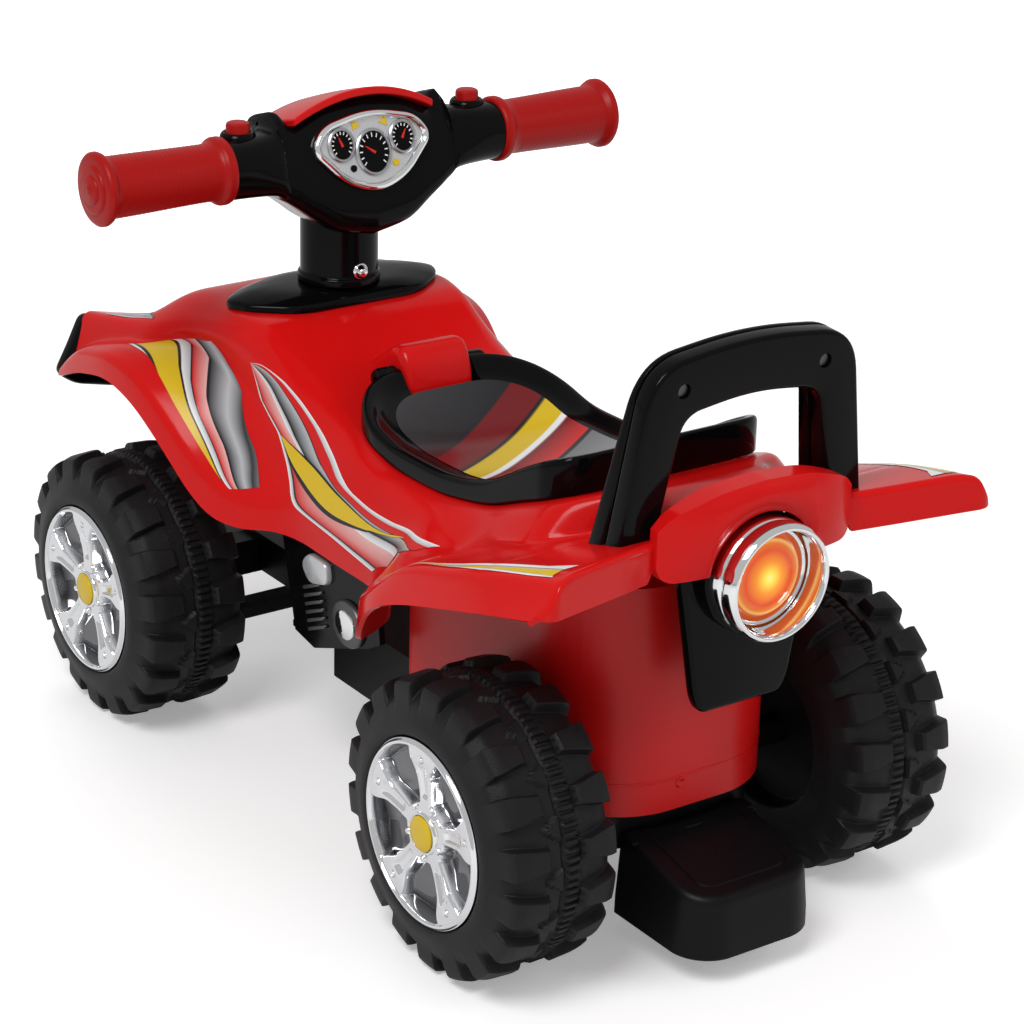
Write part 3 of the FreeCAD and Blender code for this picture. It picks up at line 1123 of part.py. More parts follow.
def make_dash():
    """The chrome bezel and the dial plate on the sloping rear face, and the red cowl over the top."""
    turn = Rotation(Vector(1, 0, 0), 90 - float(s.gauge_tilt))
    bezel_corners = mirrored_outline(GAUGE_OUTLINE_SHARES, s.gauge_half_width, s.gauge_length, 0)
    inner_width = s.gauge_half_width - s.gauge_bezel_width * BEZEL_SIDE_SHARE
    inner_length = s.gauge_length - s.gauge_bezel_width * 2
    inner_corners = mirrored_outline(GAUGE_OUTLINE_SHARES, inner_width, inner_length, s.gauge_bezel_width)
    ring = padded("gauge_ring", "XY_Plane", bezel_corners, (0, s.gauge_bezel_height))
    hole = padded("gauge_hole", "XY_Plane", inner_corners, (-s.overrun, s.gauge_bezel_height + s.overrun))
    face_corners = mirrored_outline(GAUGE_OUTLINE_SHARES, inner_width - s.door_gap,
                                    inner_length - s.door_gap * 2, s.gauge_bezel_width + s.door_gap)
    plate = padded("gauge_face", "XY_Plane", face_corners, (0, s.gauge_plate))
    bezel = cut("gauge_bezel", ring, hole)
    for thing in (bezel, plate):
        place(thing, 0, housing_rear_y, neck_top + s.gauge_foot, turn)
    top = [(s.grip_inner_end * x, neck_top + s.housing_height * z) for x, z in COWL_OUTLINE_SHARES]
    outer = [(x + s.cowl_wall * share, z + s.cowl_wall) for (x, z), share in zip(top, COWL_FLARE_SHARES)]
    corners = top + [(-x, z) for x, z in reversed(top[:-1])]
    corners += [(-x, z) for x, z in outer[:-1]] + list(reversed(outer))
    corners = [(x if abs(float(x)) > 0 else 0, z) for x, z in corners]
    span = (column_y - s.housing_back, housing_front_y)
    cut("cowl_trim", padded("cowl_pad", "XZ_Plane", corners, span), slope_cutter("cowl_slope", 0))


def make_seat():
    """The seat: a floor plate with a raised rim and rear lip, hinge lugs and a gap for the block."""
    span = (seat_rear, s.seat_front)
    tall = (tub_top, handle_top)
    foot = shell_line("platform", s.seat_rest_gap)
    outline_solid = rounded_prism("seat_outline", s.seat_half_width, span, tall,
                                  s.seat_front_radius, s.seat_rear_radius)
    inner_span = (span[0] + s.seat_rim_width, span[1] - s.seat_rim_width)
    inside = rounded_prism("seat_inside", s.seat_half_width - s.seat_rim_width, inner_span, tall,
                           s.seat_front_radius - s.seat_rim_width, s.seat_rear_radius - s.seat_rim_width)
    rim = lip_line(s.seat_rim_height, s.seat_lip_height)
    floor = shell_line("platform", s.seat_rest_gap + s.seat_plate)
    slab = side_prism("seat_slab", foot + list(reversed(rim)), s.seat_half_width + s.overrun)
    body = common("seat_body", outline_solid, slab)
    above = floor + [(floor[-1][0], handle_top), (floor[0][0], handle_top)]
    hollow = common("seat_hollow", inside, side_prism("seat_above_floor", above, s.seat_half_width))
    gap = block("seat_block_gap", both(s.block_half_width + s.block_side_gap),
                (s.block_rear - s.block_sweep_gap, s.block_front + s.overrun), tall)
    lug_start = s.block_half_width + s.block_side_gap
    lugs, at = [], {"y": s.hinge_forward, "z": hinge_z}
    for name, side in SIDES:
        lug_span = sided(side, lug_start, lug_start + s.hinge_lug_length)
        lugs.append(bar(f"seat_lug_{name}", s.hinge_lug_radius, "x", lug_span, **at))
    bore = bar("seat_hinge_bore", s.hinge_pin_radius + s.running_clearance, "x", both(s.seat_half_width), **at)
    cut("seat", fuse("seat_with_lugs", cut("seat_pan", body, hollow, gap), *lugs), bore)
    pin_half = lug_start + s.hinge_lug_length
    bar("seat_hinge_pin", s.hinge_pin_radius, "x", both(pin_half), **at)
    rise = s.block_rise
    corners = [(s.block_rear, tub_top)]
    corners += [(s.block_rear + rise * along, hinge_z + rise * up) for along, up in BLOCK_REAR_SHARES]
    along, up = BLOCK_MIDDLE_SHARE
    corners += [(s.hinge_forward + rise * along, hinge_z + rise * up),
                (s.block_front, hinge_z + rise), (s.block_front, tub_top)]
    platform = shell_line("platform")
    below = [(platform[0][0], 0)] + platform + [(platform[-1][0], 0)]
    under = side_prism("block_under", below, s.seat_half_width)
    block_bore = bar("block_bore", s.hinge_pin_radius + s.fixed_clearance, "x", both(s.seat_half_width), **at)
    cut("hinge_block", side_prism("block_solid", corners, s.block_half_width), under, block_bore)


def lip_line(rim, lip):
    """The top of the seat's rim: a steady height above the shell that climbs to the lip at the rear."""
    line = []
    lip_front = float(seat_rear + s.seat_lip_depth)
    climb = float(s.seat_lip_depth) * 2
    for y, z in shell_line("platform"):
        share = min(max((lip_front + climb - float(y)) / climb, 0), 1)
        line.append((y, z + s.seat_rest_gap + rim + (lip - rim) * share))
    return line


def make_panels():
    """Black engine panels: a side plate with a shelf that bolts against the under-frame."""
    length = s.panel_front + s.panel_rear
    bottom = chassis_top - s.panel_sill
    height = s.tank_height - s.panel_drop - bottom
    corners = [(length * along - s.panel_rear, bottom + height * up) for along, up in PANEL_OUTLINE_SHARES]
    for name, side in SIDES:
        plate = padded(f"panel_plate_{name}", "YZ_Plane", corners,
                       sided(side, s.panel_inner, s.panel_inner + s.panel_thickness))
        shelf_front = s.chassis_waist - s.chassis_plate
        shelf = block(f"panel_shelf_{name}",
                      sided(side, s.chassis_half_width, s.panel_inner + s.panel_thickness / 2),
                      (shelf_front - length / 3, shelf_front),
                      (bottom + s.panel_thickness, bottom + s.panel_thickness * 2))
        fuse(f"engine_panel_{name}", plate, shelf)


def make_fascia():
    """Black front panel with a raised middle."""
    foot = s.tank_height - s.fascia_drop
    rise = s.tank_height * SHELL_SECTION_SHARES[0][1][0][1] - foot
    corners = mirrored_outline(FASCIA_OUTLINE_SHARES, s.fascia_half_width, rise, foot)
    plate = padded("fascia_plate", "XZ_Plane", corners, (fascia_back, fascia_back + s.fascia_thickness))
    low = foot + s.panel_thickness
    bumper = block("fascia_bumper", both(s.bumper_half_width),
                   (fascia_back + s.fascia_thickness / 2, s.overall_length / 2),
                   (low, low + s.bumper_height))
    fuse("front_fascia", plate, bumper)


def make_tail_lamp():
    """Black bracket with a round boss, the chrome ring and the domed lens."""
    height = s.bracket_height
    bottom = s.tank_height - s.bracket_drop - height
    foot = float(s.bracket_foot_half_width / s.bracket_half_width)
    shares = tuple((foot * x, z) for x, z in BRACKET_FOOT_SHARES) + BRACKET_TOP_SHARES
    corners = mirrored_outline(shares, s.bracket_half_width, height, bottom)
    back = shell_tail + s.tail_panel / 2
    plate = padded("bracket_plate", "XZ_Plane", corners, (back, back + s.bracket_thickness))
    boss = bar("bracket_boss", s.lamp_radius, "y",
               (lamp_ring_front, back + s.bracket_thickness / 2), x=0, z=lamp_z)
    fuse("tail_lamp_bracket", plate, boss)
    inside = s.lamp_radius - s.lamp_ring_wall
    depth = s.lamp_ring_depth
    bevel = s.lamp_ring_wall / 2
    ring = turned("tail_lamp_ring", "y", [
        (0, inside), (-depth + bevel, inside), (-depth, inside + bevel / 2),
        (-depth, s.lamp_radius - bevel / 2),
        (-depth + bevel, s.lamp_radius), (0, s.lamp_radius)])
    place(ring, 0, lamp_ring_front, lamp_z)
    lens_radius = inside - s.lens_gap
    dome = [(-s.lens_depth * depth if depth else 0, lens_radius * reach if reach else 0)
            for depth, reach in LENS_SHARES]
    lens = turned("tail_lamp_lens", "y", [(0, 0)] + dome)
    place(lens, 0, lamp_ring_front, lamp_z)


def make_handle():
    """The arched handle in a front and a rear half, trimmed by the deck, with two sunk screws."""
    height = handle_top - handle_foot
    outer = [(s.handle_half_width * x, height * z) for x, z in HANDLE_OUTER_SHARES]
    opening_height = height - s.handle_bar
    leg = s.handle_half_width - s.handle_leg
    inner = [(leg * (x if x > 0 else 0), opening_height * z) for x, z in HANDLE_OUTER_SHARES]
    corners = outer + [(-x, z) for x, z in reversed(outer[:-1])]
    corners += [(-x, z) for x, z in inner[:-1]] + list(reversed(inner))
    corners = [(x if abs(float(x)) > 0 else 0, z if float(z) > 0 else 0) for x, z in corners]
    deck = shell_line("deck")
    below = [(deck[0][0], 0)] + deck + [(deck[-1][0], 0)]
    under = side_prism("handle_under", below, s.handle_half_width + s.overrun)
    lean = Rotation(Vector(1, 0, 0), float(s.handle_lean))
    base = {"y": handle_y, "z": handle_foot}
    screw_z = handle_top - s.handle_screw_drop - handle_foot
    depth = s.handle_half_depth
    sunk = depth / 2
    pieces = {"front": (0, depth), "rear": (-depth, 0)}
    screws = []
    for name, span in pieces.items():
        half = padded(f"handle_{name}_pad", "XZ_Plane", corners, span)
        tools = []
        for label, side in SIDES:
            x = side * s.handle_screw_place
            tools.append(bar(f"handle_{name}_hole_{label}", s.screw_radius + s.fixed_clearance, "y",
                             (-depth - s.overrun, s.screw_grip), x=x, z=screw_z))
            if name == "rear":
                tools.append(bar(f"handle_sink_{label}", s.screw_head_radius + s.door_gap, "y",
                                 (-depth - s.overrun, -sunk), x=x, z=screw_z))
                head = bar(f"handle_screw_head_{label}", s.screw_head_radius, "y",
                           (-sunk - s.screw_head_height, -sunk), x=x, z=screw_z)
                shank = bar(f"handle_screw_shank_{label}", s.screw_radius, "y",
                            (-sunk, s.screw_grip), x=x, z=screw_z)
                screws.append(fuse(f"handle_screw_{label}", head, shank))
        drilled = cut(f"handle_{name}_drilled", half, *tools)
        place(drilled, rotation=lean, **base)
        cut(f"handle_{name}_half", drilled, under)
    group = fuse("handle_screws", *screws)
    place(group, rotation=lean, **base)


def make_step():
    """The rear foot: a hollow wedge behind the under-frame with a tab below it."""
    under = chassis_top - s.chassis_rear_depth
    back = chassis_rear - s.fixed_clearance
    rear = tail_face
    wall = s.step_wall
    corner = s.step_wall * 2
    solid = side_prism("step_solid", [
        (chassis_rear + s.step_tab, under), (back, under), (back, s.step_top),
        (rear + corner, s.step_rear_top + corner / 2), (rear, s.step_rear_top), (rear, s.step_bottom),
        (back - corner, s.step_bottom), (chassis_rear + s.step_tab, under - wall)],
        s.step_half_width)
    room = side_prism("step_room", [
        (back - wall, s.step_top - wall * 2), (rear + corner, s.step_rear_top - wall),
        (rear + wall, s.step_rear_top - corner), (rear + wall, s.step_bottom - s.overrun),
        (back - corner - wall, s.step_bottom - s.overrun), (back - wall, under - wall)],
        s.step_half_width - wall)
    cut("rear_step", solid, room)


def make_cover_screws():
    """Two screws that hold the front cover's arms to bosses inside the rear cover."""
    parts = []
    front = housing_split_y + s.housing_wall
    for name, side in SIDES:
        at = {"x": side * cover_screw_place, "z": bar_z}
        head = bar(f"cover_screw_head_{name}", s.screw_head_radius, "y",
                   (front, front + s.screw_head_height), **at)
        shank = bar(f"cover_screw_shank_{name}", s.screw_radius, "y", (front - s.screw_grip, front), **at)
        parts.append(fuse(f"cover_screw_{name}", head, shank))
    return fuse("cover_screws", *parts)


make_chassis()
make_front_axle()
for side_name, side_sign in SIDES:
    make_knuckle(side_name, side_sign)
    make_tyre(f"front_{side_name}_tyre", side_sign, front_axle)
    make_tyre(f"rear_{side_name}_tyre", side_sign, rear_axle)
    make_cap(f"front_{side_name}_cap", side_sign, front_axle)
    make_cap(f"rear_{side_name}_cap", side_sign, rear_axle)
    make_retainer(f"front_{side_name}_retainer", side_sign, front_axle)
    make_grip(side_name, side_sign)
make_rear_axle()
make_tie_rod()
make_steering_column()
make_housing()
make_buttons()
make_dash()
make_body_shell()
make_storage_tub()
make_body_screws()
make_seat()
make_panels()
make_fascia()
make_tail_lamp()
make_handle()
make_step()
make_cover_screws()

NODES = (
    "body_shell", "storage_tub", "chassis", "rear_step", "front_fascia",
    "engine_panel_left", "engine_panel_right", "column_bezel", "hinge_block", "seat", "seat_hinge_pin",
    "handle_front_half", "handle_rear_half", "handle_screws",
    "tail_lamp_bracket", "tail_lamp_ring", "tail_lamp_lens", "body_screws", "front_axle_beam", "kingpins",
    "rear_axle", "rear_spacers", "rear_retainers", "column_bush", "left_knuckle", "right_knuckle",
    "left_stub_axle", "right_stub_axle", "front_left_retainer", "front_right_retainer", "tie_rod",
    "steering_rod", "steering_neck", "neck_bolt", "bar_rear_cover", "bar_front_cover", "cowl_trim",
    "gauge_bezel", "gauge_face", "left_grip", "right_grip", "left_button", "right_button",
    "left_button_spring", "right_button_spring", "sound_board", "speaker",
    "batteries", "battery_door", "cover_screws",
    "front_left_tyre", "front_right_tyre", "rear_left_tyre", "rear_right_tyre",
    "front_left_cap", "front_right_cap", "rear_left_cap", "rear_right_cap",
)

doc.recompute()
failed = [thing.Name for thing in doc.Objects if "Invalid" in thing.State or "Error" in thing.State]
if failed:
    raise RuntimeError(f"failed to build: {failed}")
for node in NODES:
    shape = doc.getObject(node).Shape
    if shape.isNull() or not shape.isValid() or not shape.Solids:
        raise RuntimeError(f"no valid solid: {node}")
os.makedirs("parts", exist_ok=True)
for node in NODES:
    doc.getObject(node).Label = node
    doc.getObject(node).Shape.exportStep(f"parts/{node}.step")
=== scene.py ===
"""Looks of a kids quad bike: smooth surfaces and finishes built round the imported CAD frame."""

import json
import math

import bmesh
import bpy
import numpy as np
from mathutils import Matrix, Vector

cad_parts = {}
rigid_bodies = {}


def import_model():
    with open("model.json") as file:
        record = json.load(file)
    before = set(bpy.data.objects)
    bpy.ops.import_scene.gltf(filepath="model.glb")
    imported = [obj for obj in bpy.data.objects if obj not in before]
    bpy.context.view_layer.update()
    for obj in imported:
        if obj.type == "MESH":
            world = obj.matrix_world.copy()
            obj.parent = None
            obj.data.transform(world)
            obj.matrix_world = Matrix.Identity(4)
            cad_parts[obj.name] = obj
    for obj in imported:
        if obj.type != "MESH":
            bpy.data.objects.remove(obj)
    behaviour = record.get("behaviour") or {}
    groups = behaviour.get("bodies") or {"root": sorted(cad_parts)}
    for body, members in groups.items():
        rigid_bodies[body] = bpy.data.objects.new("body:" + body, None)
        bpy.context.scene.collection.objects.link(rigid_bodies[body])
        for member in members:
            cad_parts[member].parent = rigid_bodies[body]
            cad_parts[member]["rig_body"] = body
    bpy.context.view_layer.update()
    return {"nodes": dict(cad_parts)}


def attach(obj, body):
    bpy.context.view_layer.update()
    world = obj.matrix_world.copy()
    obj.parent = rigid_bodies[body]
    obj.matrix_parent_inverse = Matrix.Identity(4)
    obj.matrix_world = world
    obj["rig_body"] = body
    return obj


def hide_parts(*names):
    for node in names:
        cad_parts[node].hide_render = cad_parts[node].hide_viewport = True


bl_info = {
    "name": "Kids Quad Bike",
    "version": (1, 0, 0),
    "blender": (4, 5, 0),
    "location": "View3D > Sidebar > Quad",
    "description": "Builds the looks of a foot-to-floor kids quad bike round its CAD frame",
    "category": "Object",
}

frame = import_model()
MM = 0.001
SIDES = (("left", -1), ("right", 1))
SMOOTH_ANGLE = 38

# Half sections of the red shell in millimetres: station, then (x, z) from the middle line to the lip's foot
SHELL_SECTIONS = (
    (290.1, (0, 233), (57, 234), (108, 245), (119, 214), (125, 210.5), (128, 207.5), (129, 203)),
    (277.0, (0, 238), (59, 238.5), (107.5, 247), (114, 224), (124, 222), (129.5, 218), (131, 208)),
    (250.0, (0, 248), (62, 248), (106, 252), (111, 236), (124, 236.5), (132, 233), (134, 218)),
    (234.0, (0, 254.5), (68, 254), (105, 254.5), (110, 241), (124, 241), (134, 237), (135.5, 222)),
    (225.0, (0, 267), (74, 266), (104, 256), (109, 244), (124, 243.5), (135, 239.5), (136.2, 224.5)),
    (205.0, (0, 277.5), (69, 277), (104, 258.5), (108, 248), (124, 247), (136, 243), (137, 227)),
    (180.0, (0, 280), (72, 280), (92, 264), (90, 254), (118, 249), (135, 240), (136, 222)),
    (141.0, (0, 280), (80, 280), (86, 268), (86, 246), (112, 231), (129, 217), (131, 197)),
    (116.0, (0, 280), (74, 280), (82, 268), (85, 238), (104, 217), (124, 196), (126, 175)),
    (95.0, (0, 270), (72, 270), (80, 260), (86, 233), (100, 208), (118, 184), (120, 164)),
    (75.0, (0, 261), (70, 261), (80, 252), (88, 229), (96, 204), (110, 180), (112, 163)),
    (58.0, (0, 255), (68, 255), (79, 247), (89, 225), (94, 203), (101, 182), (103, 167)),
    (30.0, (0, 247), (70, 247), (80, 240), (89, 217), (93, 198), (95, 180), (95, 166)),
    (-10.0, (0, 238), (76, 238), (84, 232), (90, 211), (93, 195), (95, 179), (95, 165)),
    (-40.0, (0, 232), (77, 232), (85, 227), (91, 207), (94, 193), (95, 178), (95, 165)),
    (-85.0, (0, 233), (77, 233), (86, 226), (96, 210), (102, 196), (107, 182), (108, 163)),
    (-103.0, (0, 236), (77, 236), (90, 222), (108, 211), (130, 199), (141, 190), (143, 163)),
    (-132.0, (0, 242), (77, 242), (92, 219), (112, 216), (136, 213), (150, 209), (154, 196)),
    (-165.0, (0, 255), (77, 255), (94, 235), (114, 235), (138, 235), (151, 233), (155, 212)),
    (-205.0, (0, 270), (76, 270), (95, 248), (114, 248), (138, 248), (151.5, 246.5), (156, 225)),
    (-235.0, (0, 279), (43, 279), (47, 258), (95, 258), (138, 258), (150.5, 256), (156, 234)),
    (-306.0, (0, 285), (43, 279), (47, 276), (95, 276), (133, 276), (143, 273), (156, 254)),
)
# Reach of the rounding at the five corners between the middle line and the lower edge
SHELL_RADII = (9, 6, 3.5, 7, 4)
SHELL_HALF = 156
SKIN = 3.0

# Station where the deck starts, and the rows of the skin's grid ahead of it
WAIST = -235
WAIST_ROWS = 150

# Outlines seen from above: half width, rear, front, rear radius, front radius
HATCH = (60, -188, -50, 22, 22)
TUB_WALL = (74, -242, -46, 55, 14)
SEAT = (74, -205, 36, 24, 52)
REAR_FOOT = (46, -306, -228.4, 25, 2)

# Places: steering column and buttons (x, y), hinge and bar (y, z), lamp (z) and its lens
COLUMN = (0, 144)
BUTTON = (84, 125.5)
HINGE = (38, 258.97)
BAR = (119, 380.6)
LAMP_HEIGHT = 240
LENS_RADIUS = 28.7

# Wheels: axle stations, inner face, and radii and width of tyre and hub cap
AXLES = (("front", 200), ("rear", -200))
WHEEL_INNER = 82
WHEEL_RADIUS = 88
TYRE_WIDTH = 78
TREAD_RADIUS = 82.8
CAP_RADIUS = 55

# Rear edge of the deck: half of its straight middle, its line, its rearmost tips and its rounding
TAIL_MIDDLE = 67
TAIL_LINE = -278
DECK_REAR = -306
FOLD_RADIUS = 3.1
TIP_RADIUS = 13

# Sections of the handlebar housing from the middle out: x, foot, top, rear, front, squareness
HOUSING_SECTIONS = (
    (0, 327, 418.4, 105, 171, 4.6), (25, 332.5, 415.0, 105, 170, 4.6),
    (42, 344, 408, 105, 166, 4.6), (50, 350, 404.5, 105, 164, 4.8),
    (56.5, 354.5, 413.5, 105, 161, 5.0), (60.2, 357, 414.5, 105, 159, 5.0),
    (61.8, 358.5, 401.5, 103.5, 150, 3.4), (66, 360.5, 399.6, 102, 144, 2.8),
    (76, 361.6, 398.8, 101, 140, 2.5), (98, 362, 398.6, 100.5, 137.5, 2.2),
)
BAR_END = HOUSING_SECTIONS[-1][0]

# Right half of the dial's outline (across, up the slope), and the whole of it
GAUGE_HALF = ((22.5, 7.6), (45, 31.3), (34.2, 46.4))
GAUGE_OUTLINE = ((0, 0), *GAUGE_HALF, (0, 54), *((-x, up) for x, up in reversed(GAUGE_HALF)))

# Feet (y, z) and slopes of the carry handle and the dial
HANDLE_FOOT = (-255, 244)
HANDLE_LEAN = math.radians(4)
GAUGE_FOOT = (100, 356.6)
GAUGE_TILT = math.radians(16)

# Stickers on the skin: outer and inner edge as (station, girth column), tip first
STICKERS = {
    "flare": (((209, 28), (163, 32), (135, 34), (110, 35), (89, 36)),
              ((156, 17), (132, 21), (107, 26), (86, 29), (71, 34))),
    "fin": (((114, 17), (93, 21), (65, 25), (50, 30), (40, 35), (-2, 37), (-48, 39)),
            ((114, 17), (75, 14), (43, 15), (15, 17), (-17, 20), (-62, 20), (-122, 16))),
    "swoosh": (((66, 24), (40, 29), (5, 31), (-35, 29), (-84, 22)),
               ((66, 23.6), (30, 22), (-5, 24), (-45, 25), (-84, 21.8))),
    "wedge": (((-161, 33), (-217, 31), (-258, 29), (-286, 27)),
              ((-161, 33.4), (-231, 36.5), (-270, 36.5), (-290, 36))),
    "hood": (((268, 13), (245, 13), (212, 12.2)), ((268, 11), (245, 9), (212, 11.8))),
}

# Photograph's camera: eye, right, up and forward directions, and lens for a 36 mm sensor
CAMERA_EYE = (-0.97214, -1.42399, 0.87031)
CAMERA_RIGHT = (0.82062, -0.57100, 0.02312)
CAMERA_UP = (0.19527, 0.31819, 0.92770)
CAMERA_FORWARD = (0.53707, 0.75678, -0.37261)
CAMERA_LENS = 105.47


class QuadColours(bpy.types.PropertyGroup):
    """Colours of the mouldings, linear."""

    red: bpy.props.FloatVectorProperty(
        name="Red", description="Gloss red body", subtype="COLOR", min=0, max=1,
        default=(0.62, 0.006, 0.006))
    grip: bpy.props.FloatVectorProperty(
        name="Grip red", description="Satin red grips and buttons", subtype="COLOR", min=0, max=1,
        default=(0.36, 0.005, 0.004))
    black: bpy.props.FloatVectorProperty(
        name="Black", description="Gloss black mouldings", subtype="COLOR", min=0, max=1,
        default=(0.0025, 0.0025, 0.003))
    tyre: bpy.props.FloatVectorProperty(
        name="Tyre", description="Grained charcoal tyres", subtype="COLOR", min=0, max=1,
        default=(0.0085, 0.0085, 0.0095))
    yellow: bpy.props.FloatVectorProperty(
        name="Yellow", description="Stripes and wheel centres", subtype="COLOR", min=0, max=1,
        default=(0.68, 0.46, 0.01))


class QuadSizes(bpy.types.PropertyGroup):
    """Sizes and counts of the visible details."""

    lug_height: bpy.props.FloatProperty(
        name="Lug height", description="Tread lugs above the tread", default=0.006, min=0,
        subtype="DISTANCE", unit="LENGTH")
    lug_count: bpy.props.IntProperty(
        name="Lugs", description="Lugs on each shoulder", default=18, min=6)
    spoke_count: bpy.props.IntProperty(
        name="Spokes", description="Spokes of a hub cap", default=5, min=3)
    window_depth: bpy.props.FloatProperty(
        name="Window depth", description="Hub cap windows below the spokes", default=0.011, min=0.001,
        subtype="DISTANCE", unit="LENGTH")
    decal_lift: bpy.props.FloatProperty(
        name="Decal lift", description="Stickers above the shell", default=0.00035, min=0.0001,
        subtype="DISTANCE", unit="LENGTH")


def grid_faces(rows, columns, wrap_rows=False, wrap_columns=False):
    """Quads of a rows by columns grid of points, closed along either direction where asked."""
    row, column = np.meshgrid(np.arange(rows if wrap_rows else rows - 1),
                              np.arange(columns if wrap_columns else columns - 1), indexing="ij")
    after_row, after_column = (row + 1) % rows, (column + 1) % columns
    corners = (row * columns + column, after_row * columns + column,
               after_row * columns + after_column, row * columns + after_column)
    return np.stack(corners, -1).reshape(-1, 4)


def ladder_faces(count):
    """Quads that close a ring of points, between its first half and its second half."""
    low = np.arange(count // 2 - 1)
    return np.stack([low, low + 1, count - 2 - low, count - 1 - low], -1)


def at_height(path, height):
    """Points of a flat path at one height, or at a height for each point."""
    return np.column_stack([path, np.broadcast_to(height, len(path))])


def mirrored(half):
    """A closed outline from its right half, which is given from the foot up."""
    return [(-x, z) for x, z in reversed(half)] + list(half)


def turned_flat(points, degrees):
    """Flat points turned anticlockwise about the origin."""
    angle = math.radians(degrees)
    return points @ np.array([(math.cos(angle), math.sin(angle)), (-math.sin(angle), math.cos(angle))])


def ellipse(centre, width, height, steps=64):
    """A flat ellipse, anticlockwise."""
    angle = np.linspace(0, 2 * np.pi, steps, endpoint=False)
    return np.column_stack([centre[0] + width * np.cos(angle), centre[1] + height * np.sin(angle)])


def new_object(name, points, faces, uv=None, sharp=SMOOTH_ANGLE, weld=True):
    """A smooth-shaded mesh object from points in millimetres, welded, with its faces turned outwards."""
    mesh = bpy.data.meshes.new(name)
    points = np.asarray(points, float).reshape(-1, 3) * MM
    mesh.from_pydata(points.tolist(), [], [list(face) for face in faces])
    if uv is not None:
        corner = np.zeros(len(mesh.loops), np.int32)
        mesh.loops.foreach_get("vertex_index", corner)
        layer = mesh.uv_layers.new(name="UVMap")
        layer.data.foreach_set("uv", np.asarray(uv, float).reshape(-1, 2)[corner].ravel())
    work = bmesh.new()
    work.from_mesh(mesh)
    if weld:
        bmesh.ops.remove_doubles(work, verts=work.verts, dist=2e-6)
        bmesh.ops.dissolve_degenerate(work, edges=work.edges, dist=1e-7)
        bmesh.ops.recalc_face_normals(work, faces=work.faces)
    work.to_mesh(mesh)
    work.free()
    return link_object(name, mesh, sharp)


def ring_object(name, rings, closed=False, **options):
    """A surface through rings of points; a closed one joins its last ring to its first."""
    points = np.stack(rings)
    faces = grid_faces(*points.shape[:2], wrap_rows=closed, wrap_columns=True)
    return new_object(name, points, faces, **options)


def smooth_mesh(mesh, sharp=SMOOTH_ANGLE):
    """Shades a mesh smoothly up to an angle in degrees."""
    mesh.shade_smooth()
    mesh.set_sharp_from_angle(angle=math.radians(sharp))


def link_object(name, mesh, sharp=SMOOTH_ANGLE):
    """Puts a mesh into the scene, smooth-shaded up to an angle."""
    smooth_mesh(mesh, sharp)
    thing = bpy.data.objects.new(name, mesh)
    bpy.context.scene.collection.objects.link(thing)
    return thing


def dress(thing, body, finish, nodes=()):
    """Gives a piece its finish and body, and hides the CAD nodes it stands for."""
    thing.data.materials.clear()
    thing.data.materials.append(finishes()[finish])
    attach(thing, body)
    if nodes:
        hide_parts(*nodes)


def paint_nodes(finish, *nodes):
    """Gives CAD nodes that show as they are a finish."""
    for node in nodes:
        thing = frame["nodes"][node]
        thing.data.materials.clear()
        thing.data.materials.append(finishes()[finish])


def solid_sheet(name, outer, inner):
    """A closed slab between two grids of points of the same size."""
    ring = np.concatenate([outer, inner[:, ::-1]], axis=1)
    rows, count = ring.shape[:2]
    cap = ladder_faces(count)
    sides = grid_faces(rows, count, wrap_columns=True)
    return new_object(name, ring, np.concatenate([sides, cap, cap + (rows - 1) * count]))


def prism_object(name, outline, low, high):
    """A straight prism on an XY outline, used to carve a piece."""
    path = np.asarray(outline, float)
    count = len(path)
    points = np.concatenate([at_height(path, z) for z in (low, high)])
    faces = grid_faces(2, count, wrap_columns=True).tolist()
    faces += [list(range(count)), list(range(count, 2 * count))]
    return new_object(name, points, faces)


def cushion(name, path, low, high, edge, lay):
    """A prism on a closed anticlockwise path, with quarter circles along its end edges, laid into place by
    a function. Its ends are ladders between the path's first and second half."""
    inward = path_normals(path)
    turn = np.linspace(0, np.pi / 2, 5)
    inset, rise = edge * (1 - np.sin(turn)), edge * (1 - np.cos(turn))
    steps = list(zip(inset, low + rise)) + list(zip(inset[::-1], high - rise[::-1]))
    rings = np.stack([at_height(path + inward * depth, out) for depth, out in steps])
    count = len(path)
    cap = ladder_faces(count)
    sides = grid_faces(len(steps), count, wrap_columns=True)
    return new_object(name, lay(rings), np.concatenate([sides, cap, cap + (len(steps) - 1) * count]))


def facing_forward(points):
    """Lays points (across, up, out) with their ends facing forward."""
    return points[..., [0, 2, 1]]


def facing_back(points):
    """Lays points (across, up, out) with their ends facing back."""
    return points[..., [0, 2, 1]] * (1, -1, 1)


def facing_sideways(points):
    """Lays points (along, up, out) with their ends facing sideways."""
    return points[..., [2, 0, 1]]


def carve(thing, *cutters):
    """Cuts closed meshes out of a piece and removes them."""
    for cutter in cutters:
        step = thing.modifiers.new("carve", "BOOLEAN")
        step.operation = "DIFFERENCE"
        step.solver = "EXACT"
        step.object = cutter
    graph = bpy.context.evaluated_depsgraph_get()
    mesh = bpy.data.meshes.new_from_object(thing.evaluated_get(graph))
    thing.modifiers.clear()
    thing.data = mesh
    for cutter in cutters:
        bpy.data.objects.remove(cutter)
    smooth_mesh(mesh)
    return thing


def round_edges(thing, width):
    """Rounds a piece's sharp edges by a width in millimetres."""
    bevel = thing.modifiers.new("rounded edges", "BEVEL")
    bevel.width = width * MM
    bevel.segments = 3
    bevel.limit_method = "ANGLE"
    bevel.angle_limit = math.radians(SMOOTH_ANGLE)
    bevel.use_clamp_overlap = True
    bevel.harden_normals = True


